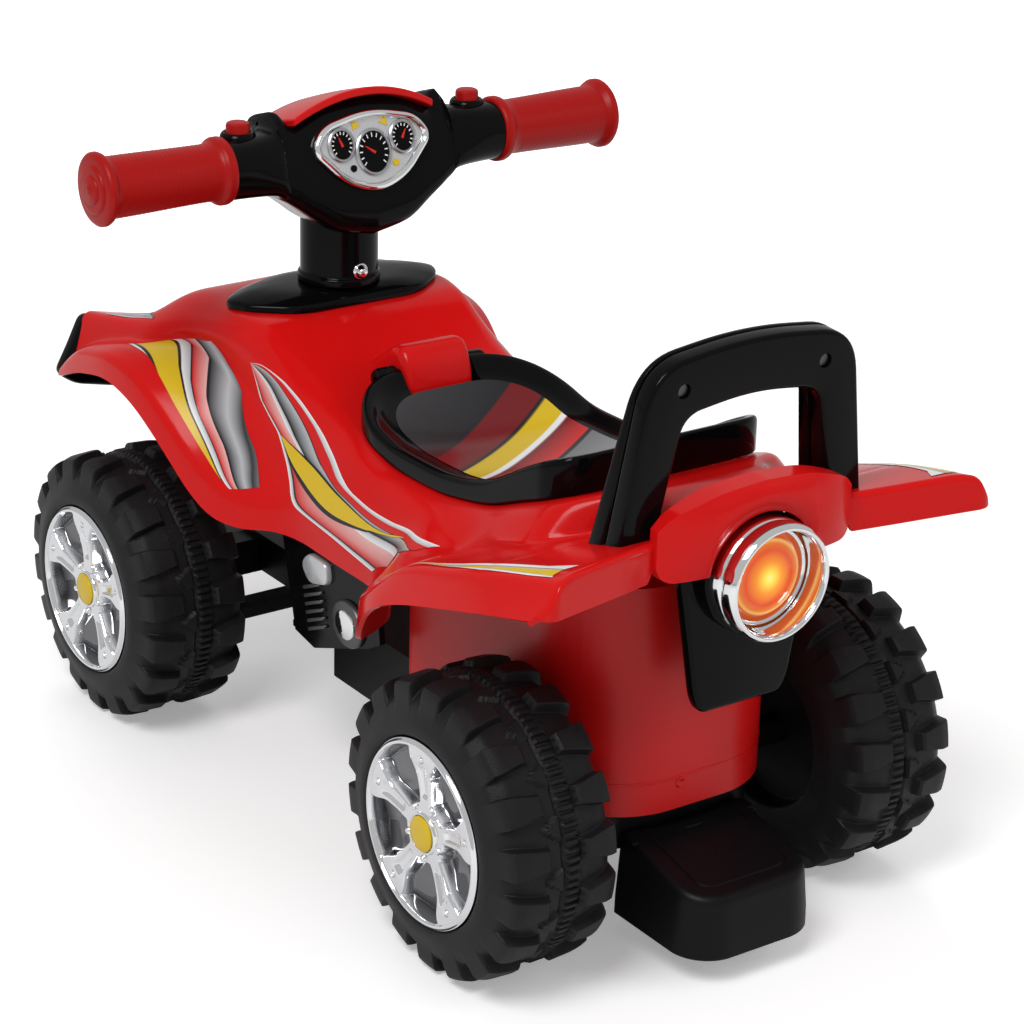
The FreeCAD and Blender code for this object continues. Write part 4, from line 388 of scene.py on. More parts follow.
def softened(node, width, finish, name=None):
    """A copy of a CAD node, its flat faces joined and its sharp edges rounded by a width in millimetres."""
    source = frame["nodes"][node]
    name = name or node + "_moulding"
    work = bmesh.new()
    work.from_mesh(source.data)
    bmesh.ops.remove_doubles(work, verts=work.verts, dist=1e-6)
    bmesh.ops.dissolve_limit(
        work, angle_limit=math.radians(0.6), verts=work.verts, edges=work.edges, delimit=set())
    mesh = bpy.data.meshes.new(name)
    work.to_mesh(mesh)
    work.free()
    thing = link_object(name, mesh)
    round_edges(thing, width)
    dress(thing, source["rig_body"], finish, [node])


def turned_points(profile, steps, axis, centre):
    """A profile of (along, radius) carried once round an axis through a centre."""
    along, radius = np.asarray(profile, float).T
    angle = np.linspace(0, 2 * np.pi, steps, endpoint=False)
    first, second = np.outer(radius, np.cos(angle)), np.outer(radius, np.sin(angle))
    along = np.repeat(along[:, None], steps, 1)
    order = {"x": (along, first, second), "y": (second, along, first), "z": (first, second, along)}[axis]
    return np.stack(order, -1) + np.asarray(centre, float)


def turned_object(name, profile, axis, centre, steps=96, closed=False, sharp=SMOOTH_ANGLE):
    """A turned piece; a closed profile joins its last point to its first."""
    return ring_object(name, turned_points(profile, steps, axis, centre), closed, sharp=sharp)


def rounded(points, radius, steps=5, closed=True):
    """A polyline whose corners are replaced by parabolas that start a radius before each corner."""
    corner = np.asarray(points, float)
    before, after = np.roll(corner, 1, 0) - corner, np.roll(corner, -1, 0) - corner
    before_length, after_length = np.linalg.norm(before, axis=1), np.linalg.norm(after, axis=1)
    reach = np.minimum(radius, 0.47 * np.minimum(before_length, after_length))[:, None]
    start = (corner + before / before_length[:, None] * reach)[:, None]
    end = (corner + after / after_length[:, None] * reach)[:, None]
    share = np.linspace(0, 1, steps + 1)[None, :, None]
    arcs = (1 - share) ** 2 * start + 2 * share * (1 - share) * corner[:, None] + share ** 2 * end
    if not closed:
        return np.concatenate([corner[:1], arcs[1:-1].reshape(-1, corner.shape[1]), corner[-1:]])
    return arcs.reshape(-1, corner.shape[1])


def edge_columns(share, edge, width, half, first=0.42, last=0.62):
    """Places from 0 to half at shares of 0 to 1; the shares between first and last lie across an edge."""
    low, high = edge - width / 2, edge + width / 2
    return np.where(share < first, low * share / first,
                    np.where(share < last, low + (high - low) * (share - first) / (last - first),
                             high + (half - high) * (share - last) / (1 - last)))


def outline_path(half_width, rear, front, rear_radius, front_radius, arc=14, run=40):
    """A rounded rectangle seen from above, anticlockwise from its right rear corner."""
    quarter = np.linspace(0, np.pi / 2, arc)
    sides = ((1, rear, rear_radius, -np.pi / 2), (1, front, front_radius, 0),
             (-1, front, front_radius, np.pi / 2), (-1, rear, rear_radius, np.pi))
    arcs = []
    for side, end, radius, start in sides:
        inward = 1 if end == rear else -1
        centre = np.array([side * (half_width - radius), end + inward * radius])
        arcs.append(centre + radius * np.column_stack([np.cos(start + quarter), np.sin(start + quarter)]))
    runs = [np.linspace(arcs[k][-1], arcs[(k + 1) % 4][0], run)[1:-1] for k in range(4)]
    return np.concatenate([part for pair in zip(arcs, runs) for part in pair])


def path_normals(path):
    """Inward unit normals of a closed anticlockwise path."""
    along = np.roll(path, -1, 0) - np.roll(path, 1, 0)
    along /= np.linalg.norm(along, axis=1)[:, None]
    return np.column_stack([-along[:, 1], along[:, 0]])


def smooth_between(stations, values, query):
    """Cubic curves through values at rising stations that never overshoot, column by column."""
    step = np.diff(stations)[:, None]
    slope = np.diff(values, axis=0) / step
    tangent = np.zeros_like(values)
    tangent[0], tangent[-1] = slope[0], slope[-1]
    first, second = slope[:-1], slope[1:]
    weight_first, weight_second = 2 * step[1:] + step[:-1], step[1:] + 2 * step[:-1]
    same = first * second > 1e-12
    safe_first, safe_second = np.where(same, first, 1), np.where(same, second, 1)
    tangent[1:-1] = np.where(
        same, (weight_first + weight_second) / (weight_first / safe_first + weight_second / safe_second), 0)
    place = np.clip(np.searchsorted(stations, query, side="right") - 1, 0, len(stations) - 2)
    width = step[:, 0][place]
    share = (query - stations[place]) / width
    low, high = np.take_along_axis(values, place, 0), np.take_along_axis(values, place + 1, 0)
    low_slope, high_slope = np.take_along_axis(tangent, place, 0), np.take_along_axis(tangent, place + 1, 0)
    square, cube = share ** 2, share ** 3
    return ((2 * cube - 3 * square + 1) * low + (cube - 2 * square + share) * width * low_slope
            + (3 * square - 2 * cube) * high + (cube - square) * width * high_slope)


def smoothstep(value, low, high):
    """0 below low, 1 above high and an S curve between."""
    share = np.clip((value - low) / (high - low), 0, 1)
    return share * share * (3 - 2 * share)


def signed_power(value, power):
    """A power that keeps the sign, for superellipses."""
    return np.sign(value) * np.abs(value) ** power


def section_columns(run_steps=3, arc_steps=4):
    """The half sections with rounded corners: rising stations and the x and z of each column."""
    rows = sorted(SHELL_SECTIONS)
    stations = np.array([row[0] for row in rows], float)
    corner = np.array([row[1:] for row in rows], float)
    step = np.diff(corner, axis=1)
    length = np.linalg.norm(step, axis=2)
    direction = step / length[..., None]
    radius = np.array(SHELL_RADII)
    reach = np.minimum(radius, 0.45 * np.minimum(length[:, :-1], length[:, 1:]))[..., None]
    start, end = corner[:, 1:-1] - direction[:, :-1] * reach, corner[:, 1:-1] + direction[:, 1:] * reach
    share = np.linspace(0, 1, arc_steps + 1)[:-1, None]
    arcs = ((1 - share) ** 2 * start[:, :, None] + 2 * share * (1 - share) * corner[:, 1:-1, None]
            + share ** 2 * end[:, :, None])
    run_from = np.concatenate([corner[:, :1], end], axis=1)
    run_to = np.concatenate([start, corner[:, -1:]], axis=1)
    along = np.linspace(0, 1, run_steps + 2)[:-1, None]
    runs = run_from[:, :, None] + along * (run_to - run_from)[:, :, None]
    parts = [part for k in range(5) for part in (runs[:, k], arcs[:, k])] + [runs[:, 5], corner[:, -1:]]
    columns = np.concatenate(parts, axis=1)
    return stations, columns[..., 0], columns[..., 1]


def shell_points(station):
    """Points of the red skin's right half at an array of stations, one row of stations per grid row."""
    stations, x, z = section_columns()
    station = np.broadcast_to(station, (station.shape[0], x.shape[1]))
    return np.stack([smooth_between(stations, x, station), station, smooth_between(stations, z, station)], -1)


def eased(points, reach):
    """A Gaussian mean of a grid along its rows, mirrored through both ends to hold them in place."""
    width = 3 * reach
    head, tail = 2 * points[:1] - points[width:0:-1], 2 * points[-1:] - points[-2:-width - 2:-1]
    padded = np.concatenate([head, points, tail])
    weights = np.exp(-0.5 * (np.arange(-width, width + 1) / reach) ** 2)
    return sum(weight * padded[k:k + len(points)] for k, weight in enumerate(weights / weights.sum()))


def shell_grid():
    """Right half of the red skin from front to tail, evened out along its length."""
    front = np.linspace(SHELL_SECTIONS[0][0], WAIST, WAIST_ROWS)
    _, x, _ = section_columns()
    rear = WAIST + np.linspace(0, 1, 26)[1:, None] * (tail_line(x[0]) + FOLD_RADIUS - WAIST)
    points = shell_points(np.concatenate([np.repeat(front[:, None], x.shape[1], 1), rear]))
    points[..., ::2] = eased(points[..., ::2], 2)
    return points


def surface_normals(points):
    """Unit normals of a grid of points, from its differences along both directions."""
    normal = np.cross(np.gradient(points, axis=1), np.gradient(points, axis=0))
    return normal / np.maximum(np.linalg.norm(normal, axis=2), 1e-9)[..., None]


def platform_height(y):
    """Height of the shell's middle flat, on which the seat lies."""
    flat = shell_grid()[WAIST_ROWS - 1::-1, 4]
    return np.interp(y, flat[:, 1], flat[:, 2])


def tail_line(x):
    """Rear edge of the deck: straight in the middle, swept back to the fender tips, which turn forward."""
    past = np.clip(np.abs(x) - (SHELL_HALF - TIP_RADIUS), 0, TIP_RADIUS)
    arc = TIP_RADIUS - np.sqrt(TIP_RADIUS ** 2 - past ** 2)
    return np.interp(np.abs(x), [0, TAIL_MIDDLE, SHELL_HALF], [TAIL_LINE, TAIL_LINE, DECK_REAR]) + arc


def feed(tree, node, inputs):
    """Gives each named input of a node a value, or joins it to another node's output."""
    for name, value in inputs.items():
        if isinstance(value, bpy.types.NodeSocket):
            tree.links.new(value, node.inputs[name])
        else:
            node.inputs[name].default_value = value


def add_node(tree, kind, inputs=None, **settings):
    """Adds a shader node with its settings and inputs."""
    node = tree.nodes.new("ShaderNode" + kind)
    for name, value in settings.items():
        setattr(node, name, value)
    feed(tree, node, inputs or {})
    return node


def add_math(tree, operation, *values):
    """Adds a math node on values or outputs and gives its result."""
    return add_node(tree, "Math", dict(enumerate(values)), operation=operation).outputs[0]


def add_ramp(tree, share, stops):
    """Adds a colour ramp of (position, colour) stops, driven by an output, and gives its colour."""
    ramp = add_node(tree, "ValToRGB", {"Fac": share})
    elements = ramp.color_ramp.elements
    while len(elements) < len(stops):
        elements.new(0.5)
    for element, (position, colour) in zip(elements, stops):
        element.position = position
        element.color = (*colour, 1)
    return ramp.outputs["Color"]


def add_surface(tree, inputs):
    """Adds the moulded surface with its inputs and gives its outputs."""
    return add_node(tree, "Group", inputs, node_tree=moulded_surface_group()).outputs


# Finishes


def moulded_surface_group():
    """Node group of moulded plastic: slow tint drift, roughness patches and fine grain."""
    group = bpy.data.node_groups.get("moulded surface")
    if group:
        return group
    group = bpy.data.node_groups.new("moulded surface", "ShaderNodeTree")
    sockets = group.interface
    sockets.new_socket(name="Colour", in_out="INPUT", socket_type="NodeSocketColor")
    for name, value in (("Drift", 0.06), ("Roughness", 0.3), ("Spread", 0.06), ("Grain Scale", 900.0)):
        socket = sockets.new_socket(name=name, in_out="INPUT", socket_type="NodeSocketFloat")
        socket.default_value = value
    sockets.new_socket(name="Colour", in_out="OUTPUT", socket_type="NodeSocketColor")
    for name in ("Roughness", "Height"):
        sockets.new_socket(name=name, in_out="OUTPUT", socket_type="NodeSocketFloat")
    given, leave = group.nodes.new("NodeGroupInput").outputs, group.nodes.new("NodeGroupOutput")
    place = add_node(group, "TexCoord").outputs["Object"]
    slow, patch, grain = (
        add_node(group, "TexNoise", {"Vector": place, "Scale": scale, "Detail": detail}).outputs["Fac"]
        for scale, detail in ((9.0, 3.0), (45.0, 5.0), (given["Grain Scale"], 2.0)))
    drift = add_math(group, "MULTIPLY_ADD", add_math(group, "SUBTRACT", slow, 0.5), given["Drift"], 1.0)
    tint = add_node(group, "HueSaturation", {"Color": given["Colour"], "Value": drift})
    patches = add_math(group, "SUBTRACT", patch, 0.5)
    rough = add_math(group, "MULTIPLY_ADD", patches, given["Spread"], given["Roughness"])
    feed(group, leave, {"Colour": tint.outputs["Color"], "Roughness": rough, "Height": grain})
    return group


def made_once(build):
    """Has a finish built only where there is none of its name yet."""

    def find(name, *details, **options):
        """The finish of a name."""
        return bpy.data.materials.get(name) or build(name, *details, **options)

    return find


def new_material(name):
    """An empty material with its shader."""
    material = bpy.data.materials.new(name)
    material.use_nodes = True
    return material, material.node_tree, material.node_tree.nodes["Principled BSDF"]


@made_once
def moulding(name, colour, roughness, spread=0.06, drift=0.06, grain=900.0, depth=0.00004,
             coat=0.0, metal=0.0, shine=0.3):
    """A moulded or plated finish with grain of a depth in metres."""
    material, tree, shader = new_material(name)
    surface = add_surface(tree, {"Colour": (*colour, 1), "Drift": drift, "Roughness": roughness,
                                 "Spread": spread, "Grain Scale": grain})
    bump = add_node(tree, "Bump", {"Strength": 1.0, "Distance": depth, "Height": surface["Height"]})
    feed(tree, shader, {
        "Base Color": surface["Colour"], "Roughness": surface["Roughness"], "Normal": bump.outputs["Normal"],
        "Coat Weight": coat, "Coat Roughness": 0.06, "Metallic": metal,
        "Specular IOR Level": 0.5 if metal else shine})
    return material


def finishes():
    """The finishes by plain names."""
    colours = bpy.context.scene.quad_colours
    red, grip, black, tyre, yellow = (
        np.array(getattr(colours, name)) for name in ("red", "grip", "black", "tyre", "yellow"))
    return {
        "red": moulding("red gloss moulding", red, 0.16, shine=0.15, depth=0.00002),
        "tub": moulding("red tub moulding", 0.9 * red, 0.36, drift=0.10, depth=0.00003),
        "grip": moulding("red grip moulding", grip, 0.36, shine=0.18, depth=0.00003),
        "black": moulding("black gloss moulding", black, 0.11, spread=0.08, shine=0.10, depth=0.00001),
        "matte": moulding("black grained moulding", 1.6 * black, 0.40, grain=1500.0, depth=0.00008,
                          shine=0.15),
        "tyre": moulding("tyre moulding", tyre, 0.46, spread=0.12, drift=0.20, grain=1300.0,
                         depth=0.00025, shine=0.20),
        "chrome": moulding("bright plating", (0.86, 0.87, 0.88), 0.07, spread=0.05, drift=0.03,
                           depth=0.000004, metal=1.0),
        "steel": moulding("zinc plating", (0.52, 0.53, 0.55), 0.30, spread=0.12, depth=0.00002, metal=1.0),
        "silver": moulding("silver print", (0.60, 0.61, 0.62), 0.28, drift=0.25, metal=0.5, depth=0.00001),
        "white": moulding("white print", (0.80, 0.80, 0.78), 0.35),
        "yellow": moulding("yellow print", yellow, 0.30, coat=0.2),
        "needle": moulding("needle red", (0.62, 0.02, 0.01), 0.35),
        "board": moulding("board lacquer", (0.02, 0.11, 0.05), 0.30),
        "cell": moulding("cell wrap", (0.06, 0.06, 0.07), 0.28),
        "iron": moulding("engine grey", (0.10, 0.10, 0.105), 0.34, spread=0.15, drift=0.3, metal=0.8),
        "hub": hub_material("hub plating"),
        "lens": lens_material("amber lens"),
        **sticker_materials(),
    }


@made_once
def lens_material(name):
    """Amber lens: bands of colour by distance from the lamp's middle, brightest in the middle, with a faint
    painted glow from emission.
    """
    material, tree, shader = new_material(name)
    place = add_node(tree, "TexCoord").outputs["Object"]
    middle = (0, 0, -LAMP_HEIGHT * MM)
    shift = add_node(tree, "Mapping", {"Vector": place, "Location": middle}).outputs["Vector"]
    flat = add_node(tree, "VectorMath", {0: shift, 1: (1, 0, 1)}, operation="MULTIPLY").outputs["Vector"]
    reach = add_node(tree, "VectorMath", {0: flat}, operation="LENGTH").outputs["Value"]
    colour = add_ramp(tree, add_math(tree, "DIVIDE", reach, LENS_RADIUS * MM), (
        (0.0, (1.0, 0.85, 0.25)), (0.12, (1.0, 0.70, 0.06)), (0.30, (0.95, 0.30, 0.01)),
        (0.55, (0.75, 0.07, 0.01)), (0.68, (0.85, 0.20, 0.02)), (0.74, (1.0, 0.55, 0.15)),
        (0.78, (0.70, 0.10, 0.01)), (1.0, (0.55, 0.10, 0.01))))
    # Emission in the band colours: a painted glow, strongest where the middle is yellow
    feed(tree, shader, {"Base Color": colour, "Emission Color": colour, "Emission Strength": 0.35,
                        "Roughness": 0.12})
    return material


@made_once
def band_material(name, bands, slant=0.0, along="U"):
    """Bands across a sticker: each runs from one colour to another and ends at a place; it starts where the
    last one ended. Most bands are print; some runs are painted sheen or painted shade, as the sticker tables
    say."""
    material, tree, shader = new_material(name)
    split = add_node(tree, "SeparateXYZ", {"Vector": add_node(tree, "TexCoord").outputs["UV"]}).outputs
    across, length = (split["X"], split["Y"]) if along == "U" else (split["Y"], split["X"])
    share = add_math(tree, "DIVIDE", add_math(tree, "MULTIPLY_ADD", length, slant, across), 1 + slant)
    seam, low, stops = 0.002, 0.0, []
    for high, first, last in bands:
        stops += [((low + seam) / (1 + slant), first), ((high - seam) / (1 + slant), last)]
        low = high
    surface = add_surface(tree, {"Roughness": 0.24, "Colour": add_ramp(tree, share, stops)})
    feed(tree, shader, {"Base Color": surface["Colour"], "Roughness": surface["Roughness"],
                        "Specular IOR Level": 0.3})
    return material


@made_once
def hub_material(name):
    """Bright plating that darkens in the windows, by the window share kept in the UV map; the darkening is
    painted shade in the recessed windows.
    """
    material, tree, shader = new_material(name)
    split = add_node(tree, "SeparateXYZ", {"Vector": add_node(tree, "TexCoord").outputs["UV"]}).outputs
    colour = add_ramp(tree, split["X"], ((0.35, (0.84, 0.85, 0.87)), (1.0, (0.20, 0.20, 0.21))))
    surface = add_surface(tree, {"Roughness": 0.08, "Drift": 0.05, "Colour": colour})
    feed(tree, shader, {"Base Color": surface["Colour"], "Roughness": surface["Roughness"], "Metallic": 1.0})
    return material


def sticker_materials():
    """Printed finishes of the stickers, by sticker, with painted metallic sheen in their silver runs and
    painted shade at the front of the seat's print.
    """
    colours = bpy.context.scene.quad_colours
    red, yellow = tuple(colours.red), tuple(colours.yellow)
    black, white, pale = (0.01, 0.01, 0.012), (0.82, 0.82, 0.82), (0.75, 0.42, 0.40)
    silver, grey, dark = (0.45, 0.46, 0.48), (0.16, 0.16, 0.17), (0.035, 0.035, 0.038)
    wine = (0.16, 0.004, 0.006)
    # In the flare, fin, wedge and hood bands, runs between dark, grey, silver and white are painted metallic
    # sheen on silver print
    bands = {
        "flare": (((0.06, silver, white), (0.10, black, black), (0.38, yellow, yellow), (0.41, black, black),
                   (0.50, white, silver), (0.52, black, black), (0.68, red, pale), (0.71, black, black),
                   (0.95, dark, silver), (1.20, silver, dark), (1.42, dark, grey)), 0.42),
        "fin": (((0.06, white, silver), (0.09, black, black), (0.42, red, pale), (0.50, white, silver),
                 (0.53, black, black), (0.76, dark, silver), (0.78, black, black), (0.92, red, red),
                 (1.0, silver, white)), 0.0),
        "swoosh": (((0.12, black, black), (0.88, yellow, yellow), (1.0, black, black)), 0.0),
        "wedge": (((0.16, white, white), (0.24, grey, silver), (0.70, yellow, yellow), (0.80, silver, grey),
                   (1.0, white, white)), 0.0),
        "hood": (((0.2, white, silver), (0.7, grey, silver), (1.0, dark, grey)), 0.0),
        # Seat: the first band, dark to black over the front of the bowl, is painted shade
        "seat": (((0.30, dark, black), (0.44, wine, wine), (0.46, black, black), (0.56, yellow, yellow),
                  (0.59, white, white), (0.72, wine, red), (0.74, black, black), (1.40, grey, silver)),
                 0.40, "V"),
    }
    return {name: band_material(f"{name} print", *spec) for name, spec in bands.items()}


# Shapes


def skin_patch(grid, edges, rows=60, columns=24):
    """Points and normals of the skin between two edge curves given as (station, girth column)."""
    along = np.repeat(np.linspace(0, 1, rows)[:, None], 2, 1)
    first, second = (
        smooth_between(np.linspace(0, 1, len(edge)), np.array(edge, float), along)[:, None] for edge in edges)
    across = np.linspace(0, 1, columns)[None, :, None]
    station, girth = np.moveaxis(first * (1 - across) + second * across, -1, 0)
    waist, tail_rows = WAIST_ROWS - 1, len(grid) - WAIST_ROWS
    front, last = grid[0, 0, 1], grid[waist, 0, 1]
    end = np.interp(girth, np.arange(grid.shape[1]), grid[-1, :, 1])
    ahead, behind = (front - station) / (front - last), (last - station) / (last - end)
    row = np.where(station >= last, ahead * waist, waist + behind * tail_rows)
    row, girth = np.clip(row, 0, len(grid) - 1.001), np.clip(girth, 0, grid.shape[1] - 1.001)
    low_row, low_girth = row.astype(int), girth.astype(int)
    part_row, part_girth = (row - low_row)[..., None], (girth - low_girth)[..., None]

    def sample(field):
        """Value of a grid field between its four nearest points."""
        near, far = (field[low_row + k, low_girth] * (1 - part_girth)
                     + field[low_row + k, low_girth + 1] * part_girth for k in (0, 1))
        return near * (1 - part_row) + far * part_row

    normal = surface_normals(grid)
    return sample(grid), sample(normal * np.sign(normal[:, :, 2].mean()))


def make_stickers():
    """Stickers on both sides of the skin, lifted off it along its normals."""
    grid = shell_grid()
    lift = bpy.context.scene.quad_sizes.decal_lift / MM
    for label, edges in STICKERS.items():
        points, normal = skin_patch(grid, edges)
        points = points + normal * lift * (1.8 if label == "swoosh" else 1.0)
        rows, columns = points.shape[:2]
        design = np.stack(np.meshgrid(np.linspace(0, 1, columns), np.linspace(0, 1, rows)), -1)
        faces = grid_faces(rows, columns)
        corner = points.reshape(-1, 3)[faces[len(faces) // 2]]
        facing = np.cross(corner[1] - corner[0], corner[2] - corner[0]) @ normal[rows // 2, columns // 2]
        for name, side in SIDES:
            turned = faces if facing * side > 0 else faces[:, ::-1]
            sheet = new_object(
                f"sticker_{label}_{name}", points * (side, 1, 1), turned, design, sharp=80, weld=False)
            dress(sheet, "frame", label)


def folded_edge(half):
    """Rows that carry the skin's rear edge round a quarter turn and down to the foot of the rear lip."""
    x, y, top = half[-1].T
    lip, panel, fender = 4, 61, 64
    foot = np.interp(x, [0, panel, fender, SHELL_HALF], [top[0] - lip, top.max() - lip, 246, 252.5])
    foot = np.where(x < panel, top - lip, foot)
    room = np.minimum(FOLD_RADIUS, top - foot)
    turn = np.linspace(0, np.pi / 2, 6)[1:, None]
    round_y, round_z = y - FOLD_RADIUS * np.sin(turn), top - room * (1 - np.cos(turn))
    share = np.linspace(0, 1, 8)[1:, None]
    down = (top - room) + share * (foot - top + room) * np.ones_like(x)
    wall_y, z = np.broadcast_to(y - FOLD_RADIUS, down.shape), np.concatenate([round_z, down])
    return np.stack([np.broadcast_to(x, z.shape), np.concatenate([round_y, wall_y]), z], -1)


def make_shell():
    """Red skin over tank, fenders and deck, with the rear lips, the rear panel and the hatch's collar."""
    half = shell_grid()
    half = np.concatenate([half, folded_edge(half)])
    outer = np.concatenate([half[:, :0:-1] * (-1, 1, 1), half], axis=1)
    normal = surface_normals(outer)
    skin = solid_sheet("shell_skin", outer, outer - SKIN * normal * np.sign(normal[:, :, 2].mean()))
    path = outline_path(*HATCH)
    hatch = prism_object("hatch_cutter", path, 200, 300)
    rod_hole = 9
    rod = prism_object("rod_cutter", ellipse(COLUMN, rod_hole, rod_hole, 48), 260, 300)
    dress(carve(skin, hatch, rod), "frame", "red", ["body_shell"])
    make_tail_panel()
    outside = path - SKIN * path_normals(path)
    foot, sink = 222.0, 2.0
    rings = [at_height(path, foot), at_height(path, platform_height(path[:, 1]) - sink),
             at_height(outside, platform_height(outside[:, 1]) - sink), at_height(outside, foot)]
    dress(ring_object("hatch_collar", rings, closed=True), "frame", "red")


def make_tail_panel():
    """Rear panel that bulges backwards and arches over the tail lamp."""
    arch_radius, face_line, back_line, depth = 36.4, -281, -274.6, 11.0
    inner = (arch_radius - 0.1) * np.sin(np.linspace(-np.pi / 2, np.pi / 2, 41))
    outer = np.linspace(arch_radius + 0.6, TAIL_MIDDLE, 16)
    across = np.concatenate([-outer[::-1], inner, outer])
    arch = LAMP_HEIGHT + np.sqrt(np.maximum(arch_radius ** 2 - across ** 2, 0))
    past = np.clip((np.abs(across) - TAIL_MIDDLE) / 10 + 1, 0, 1)
    foot = np.maximum(arch, 246 + 9 * (1 - np.sqrt(1 - past ** 2)))
    crown = np.array([(0, 295), (27, 293), (50, 287), (60, 282.5), (67, 276)], float)
    top = smooth_between(crown[:, 0], crown[:, 1:], np.abs(across)[:, None])[:, 0]
    share = np.linspace(0, 1, 12)[:, None]
    height = foot + (top - foot) * share
    bulge = depth * (1 - (np.abs(across) / TAIL_MIDDLE) ** 4)
    bulge = bulge * np.sin(np.pi * np.clip(0.25 + 0.5 * share, 0, 1))
    face = np.stack([np.broadcast_to(across, height.shape), face_line - bulge, height], -1)
    back = face.copy()
    back[..., 1] = back_line
    panel = solid_sheet("tail_panel", face, back)
    round_edges(panel, 1.6)
    dress(panel, "frame", "red")


def make_tub():
    """Storage tub with rounded edges and the raised mould seam above its foot."""
    softened("storage_tub", 1.2, "tub", "tub_wall")
    path = outline_path(*TUB_WALL)
    outward = -path_normals(path)
    profile = ((-0.6, 101.2), (0.35, 101.6), (0.55, 102.2), (0.35, 102.8), (-0.6, 103.2))
    rings = [at_height(path + outward * reach, z) for reach, z in profile]
    dress(ring_object("tub_seam", rings, closed=True), "frame", "tub")
    profile = [(-241.6, 0), (-242.6, 1.6), (-242.9, 2.4), (-242.4, 3.2), (-241.6, 3.4)]
    dress(turned_object("tub_pip", profile, "y", (-12, 0, 98), 32), "frame", "tub")


def seat_rim_height(y):
    """Rim of the seat above the shell: level, climbing to the rear lip and to the hinge."""
    return 13 + 10 * smoothstep(-y, 105, 195) + 4.5 * smoothstep(y, -15, 34)


def make_seat():
    """Seat pan: a rounded rim carried round the outline, and a bowl that sinks from it to a middle line."""
    path = outline_path(*SEAT, arc=26, run=70)
    inward = path_normals(path)
    spine = np.column_stack([np.zeros(len(path)), np.clip(path[:, 1], -160, -25)])
    rim = seat_rim_height(path[:, 1])
    floor, rest, print_width, print_length, print_lift = 4.2, 0.4, 110, 175, 0.35
    rings = []

    def add(ring, height):
        """Adds one ring at a height above the shell."""
        rings.append(at_height(ring, platform_height(ring[:, 1]) + rest + height))

    first = path + inward * 1.2
    for share in (1.0, 0.75, 0.5, 0.25, 0.0):
        add(first + (spine - first) * share, 0.0)
    add(path, 1.4)
    for inset, drop in ((0.0, 4.0), (0.5, 1.8), (1.8, 0.4), (3.6, 0.0), (5.6, 0.5)):
        add(path + inward * inset, rim - drop)
    last = path + inward * 5.6
    for share in np.linspace(0.02, 1.0, 26):
        sunk = (1 - share) ** 2 * (1 - 0.35 * smoothstep(share, 0, 0.15))
        add(last + (spine - last) * share, floor + (rim - 0.5 - floor) * sunk)
    points = np.stack(rings)
    # The print over the bowl floor; its front band, dark to black, is painted shade
    sheet = points[-21:] + (0, 0, print_lift)
    design = np.stack([0.5 + sheet[..., 0] / print_width, -sheet[..., 1] / print_length], -1)
    faces = grid_faces(len(sheet), len(path), wrap_columns=True)[:, ::-1]
    artwork = new_object("seat_print", sheet, faces, design, sharp=80, weld=False)
    dress(artwork, "seat_lid", "seat")
    seat = ring_object("seat_pan", points)
    half, start, end = 25.5, 17.5, 70
    notch = [(-half, start), (half, start), (half, end), (-half, end)]
    seat = carve(seat, prism_object("notch_cutter", notch, 230, 300))
    dress(seat, "seat_lid", "black", ["seat"])
    make_hinge()


def make_hinge():
    """The seat's two hinge lugs and the red cover between them."""
    start, end = 25.5, 39.5
    lug = [(start, 0), (start, 6.8), (start + 0.7, 7.5), (end - 3, 7.5), (end - 0.8, 6.6), (end, 4.5),
           (end, 0)]
    for name, side in SIDES:
        profile = [(side * along, radius) for along, radius in lug]
        piece = turned_object(f"seat_lug_{name}", profile, "x", (0, *HINGE), 48)
        dress(piece, "seat_lid", "black")
    outline = [(72, 250), (72, 259), (45, 277.5), (34, 278.5), (27, 270), (23, 258), (22, 246), (60, 246)]
    half = 24.4
    cover = cushion("hinge_cover", rounded(outline, 7, 6), -half, half, 6.0, facing_sideways)
    dress(cover, "frame", "red", ["hinge_block"])


def on_handle(points):
    """Moves points (across, up, forward) onto the handle, which leans back and thins out upwards."""
    across, up, out = np.moveaxis(np.asarray(points, float), -1, 0)
    out = out * (1 - np.where(out > 0, 0.72, 0.15) * smoothstep(up, 35, 120))
    cosine, sine = math.cos(HANDLE_LEAN), math.sin(HANDLE_LEAN)
    y, z = out * cosine - up * sine, up * cosine + out * sine
    return np.stack([across, HANDLE_FOOT[0] + y, HANDLE_FOOT[1] + z], -1)


def make_handle():
    """Carry handle: both halves of the arch with rounded edges, and their sunk screws."""
    half = [(85, 14), (68.5, 121), (0, 129.5)]
    opening = [(0, 97), (46, 91), (61, 14)]
    left = [(-x, z) for x, z in half[1::-1] + opening[:0:-1]]
    path = rounded(half + left + opening, np.array([2, 24, 60, 24, 2, 2, 12, 40, 12, 2]), 10)
    seam, edge = 0.15, 2.6
    front = cushion("handle_front", path, seam, 13.5, edge, on_handle)
    dress(front, "frame", "black", ["handle_front_half"])
    rear = cushion("handle_rear", path, -13.8, -seam, edge, on_handle)
    sinks = [cushion(f"{name}_sink", ellipse((side * 48, 106), 4.2, 4.2, 32), -20, -8.6, 0.2, on_handle)
             for name, side in SIDES]
    dress(carve(rear, *sinks), "frame", "black", ["handle_rear_half"])
    paint_nodes("iron", "handle_screws")


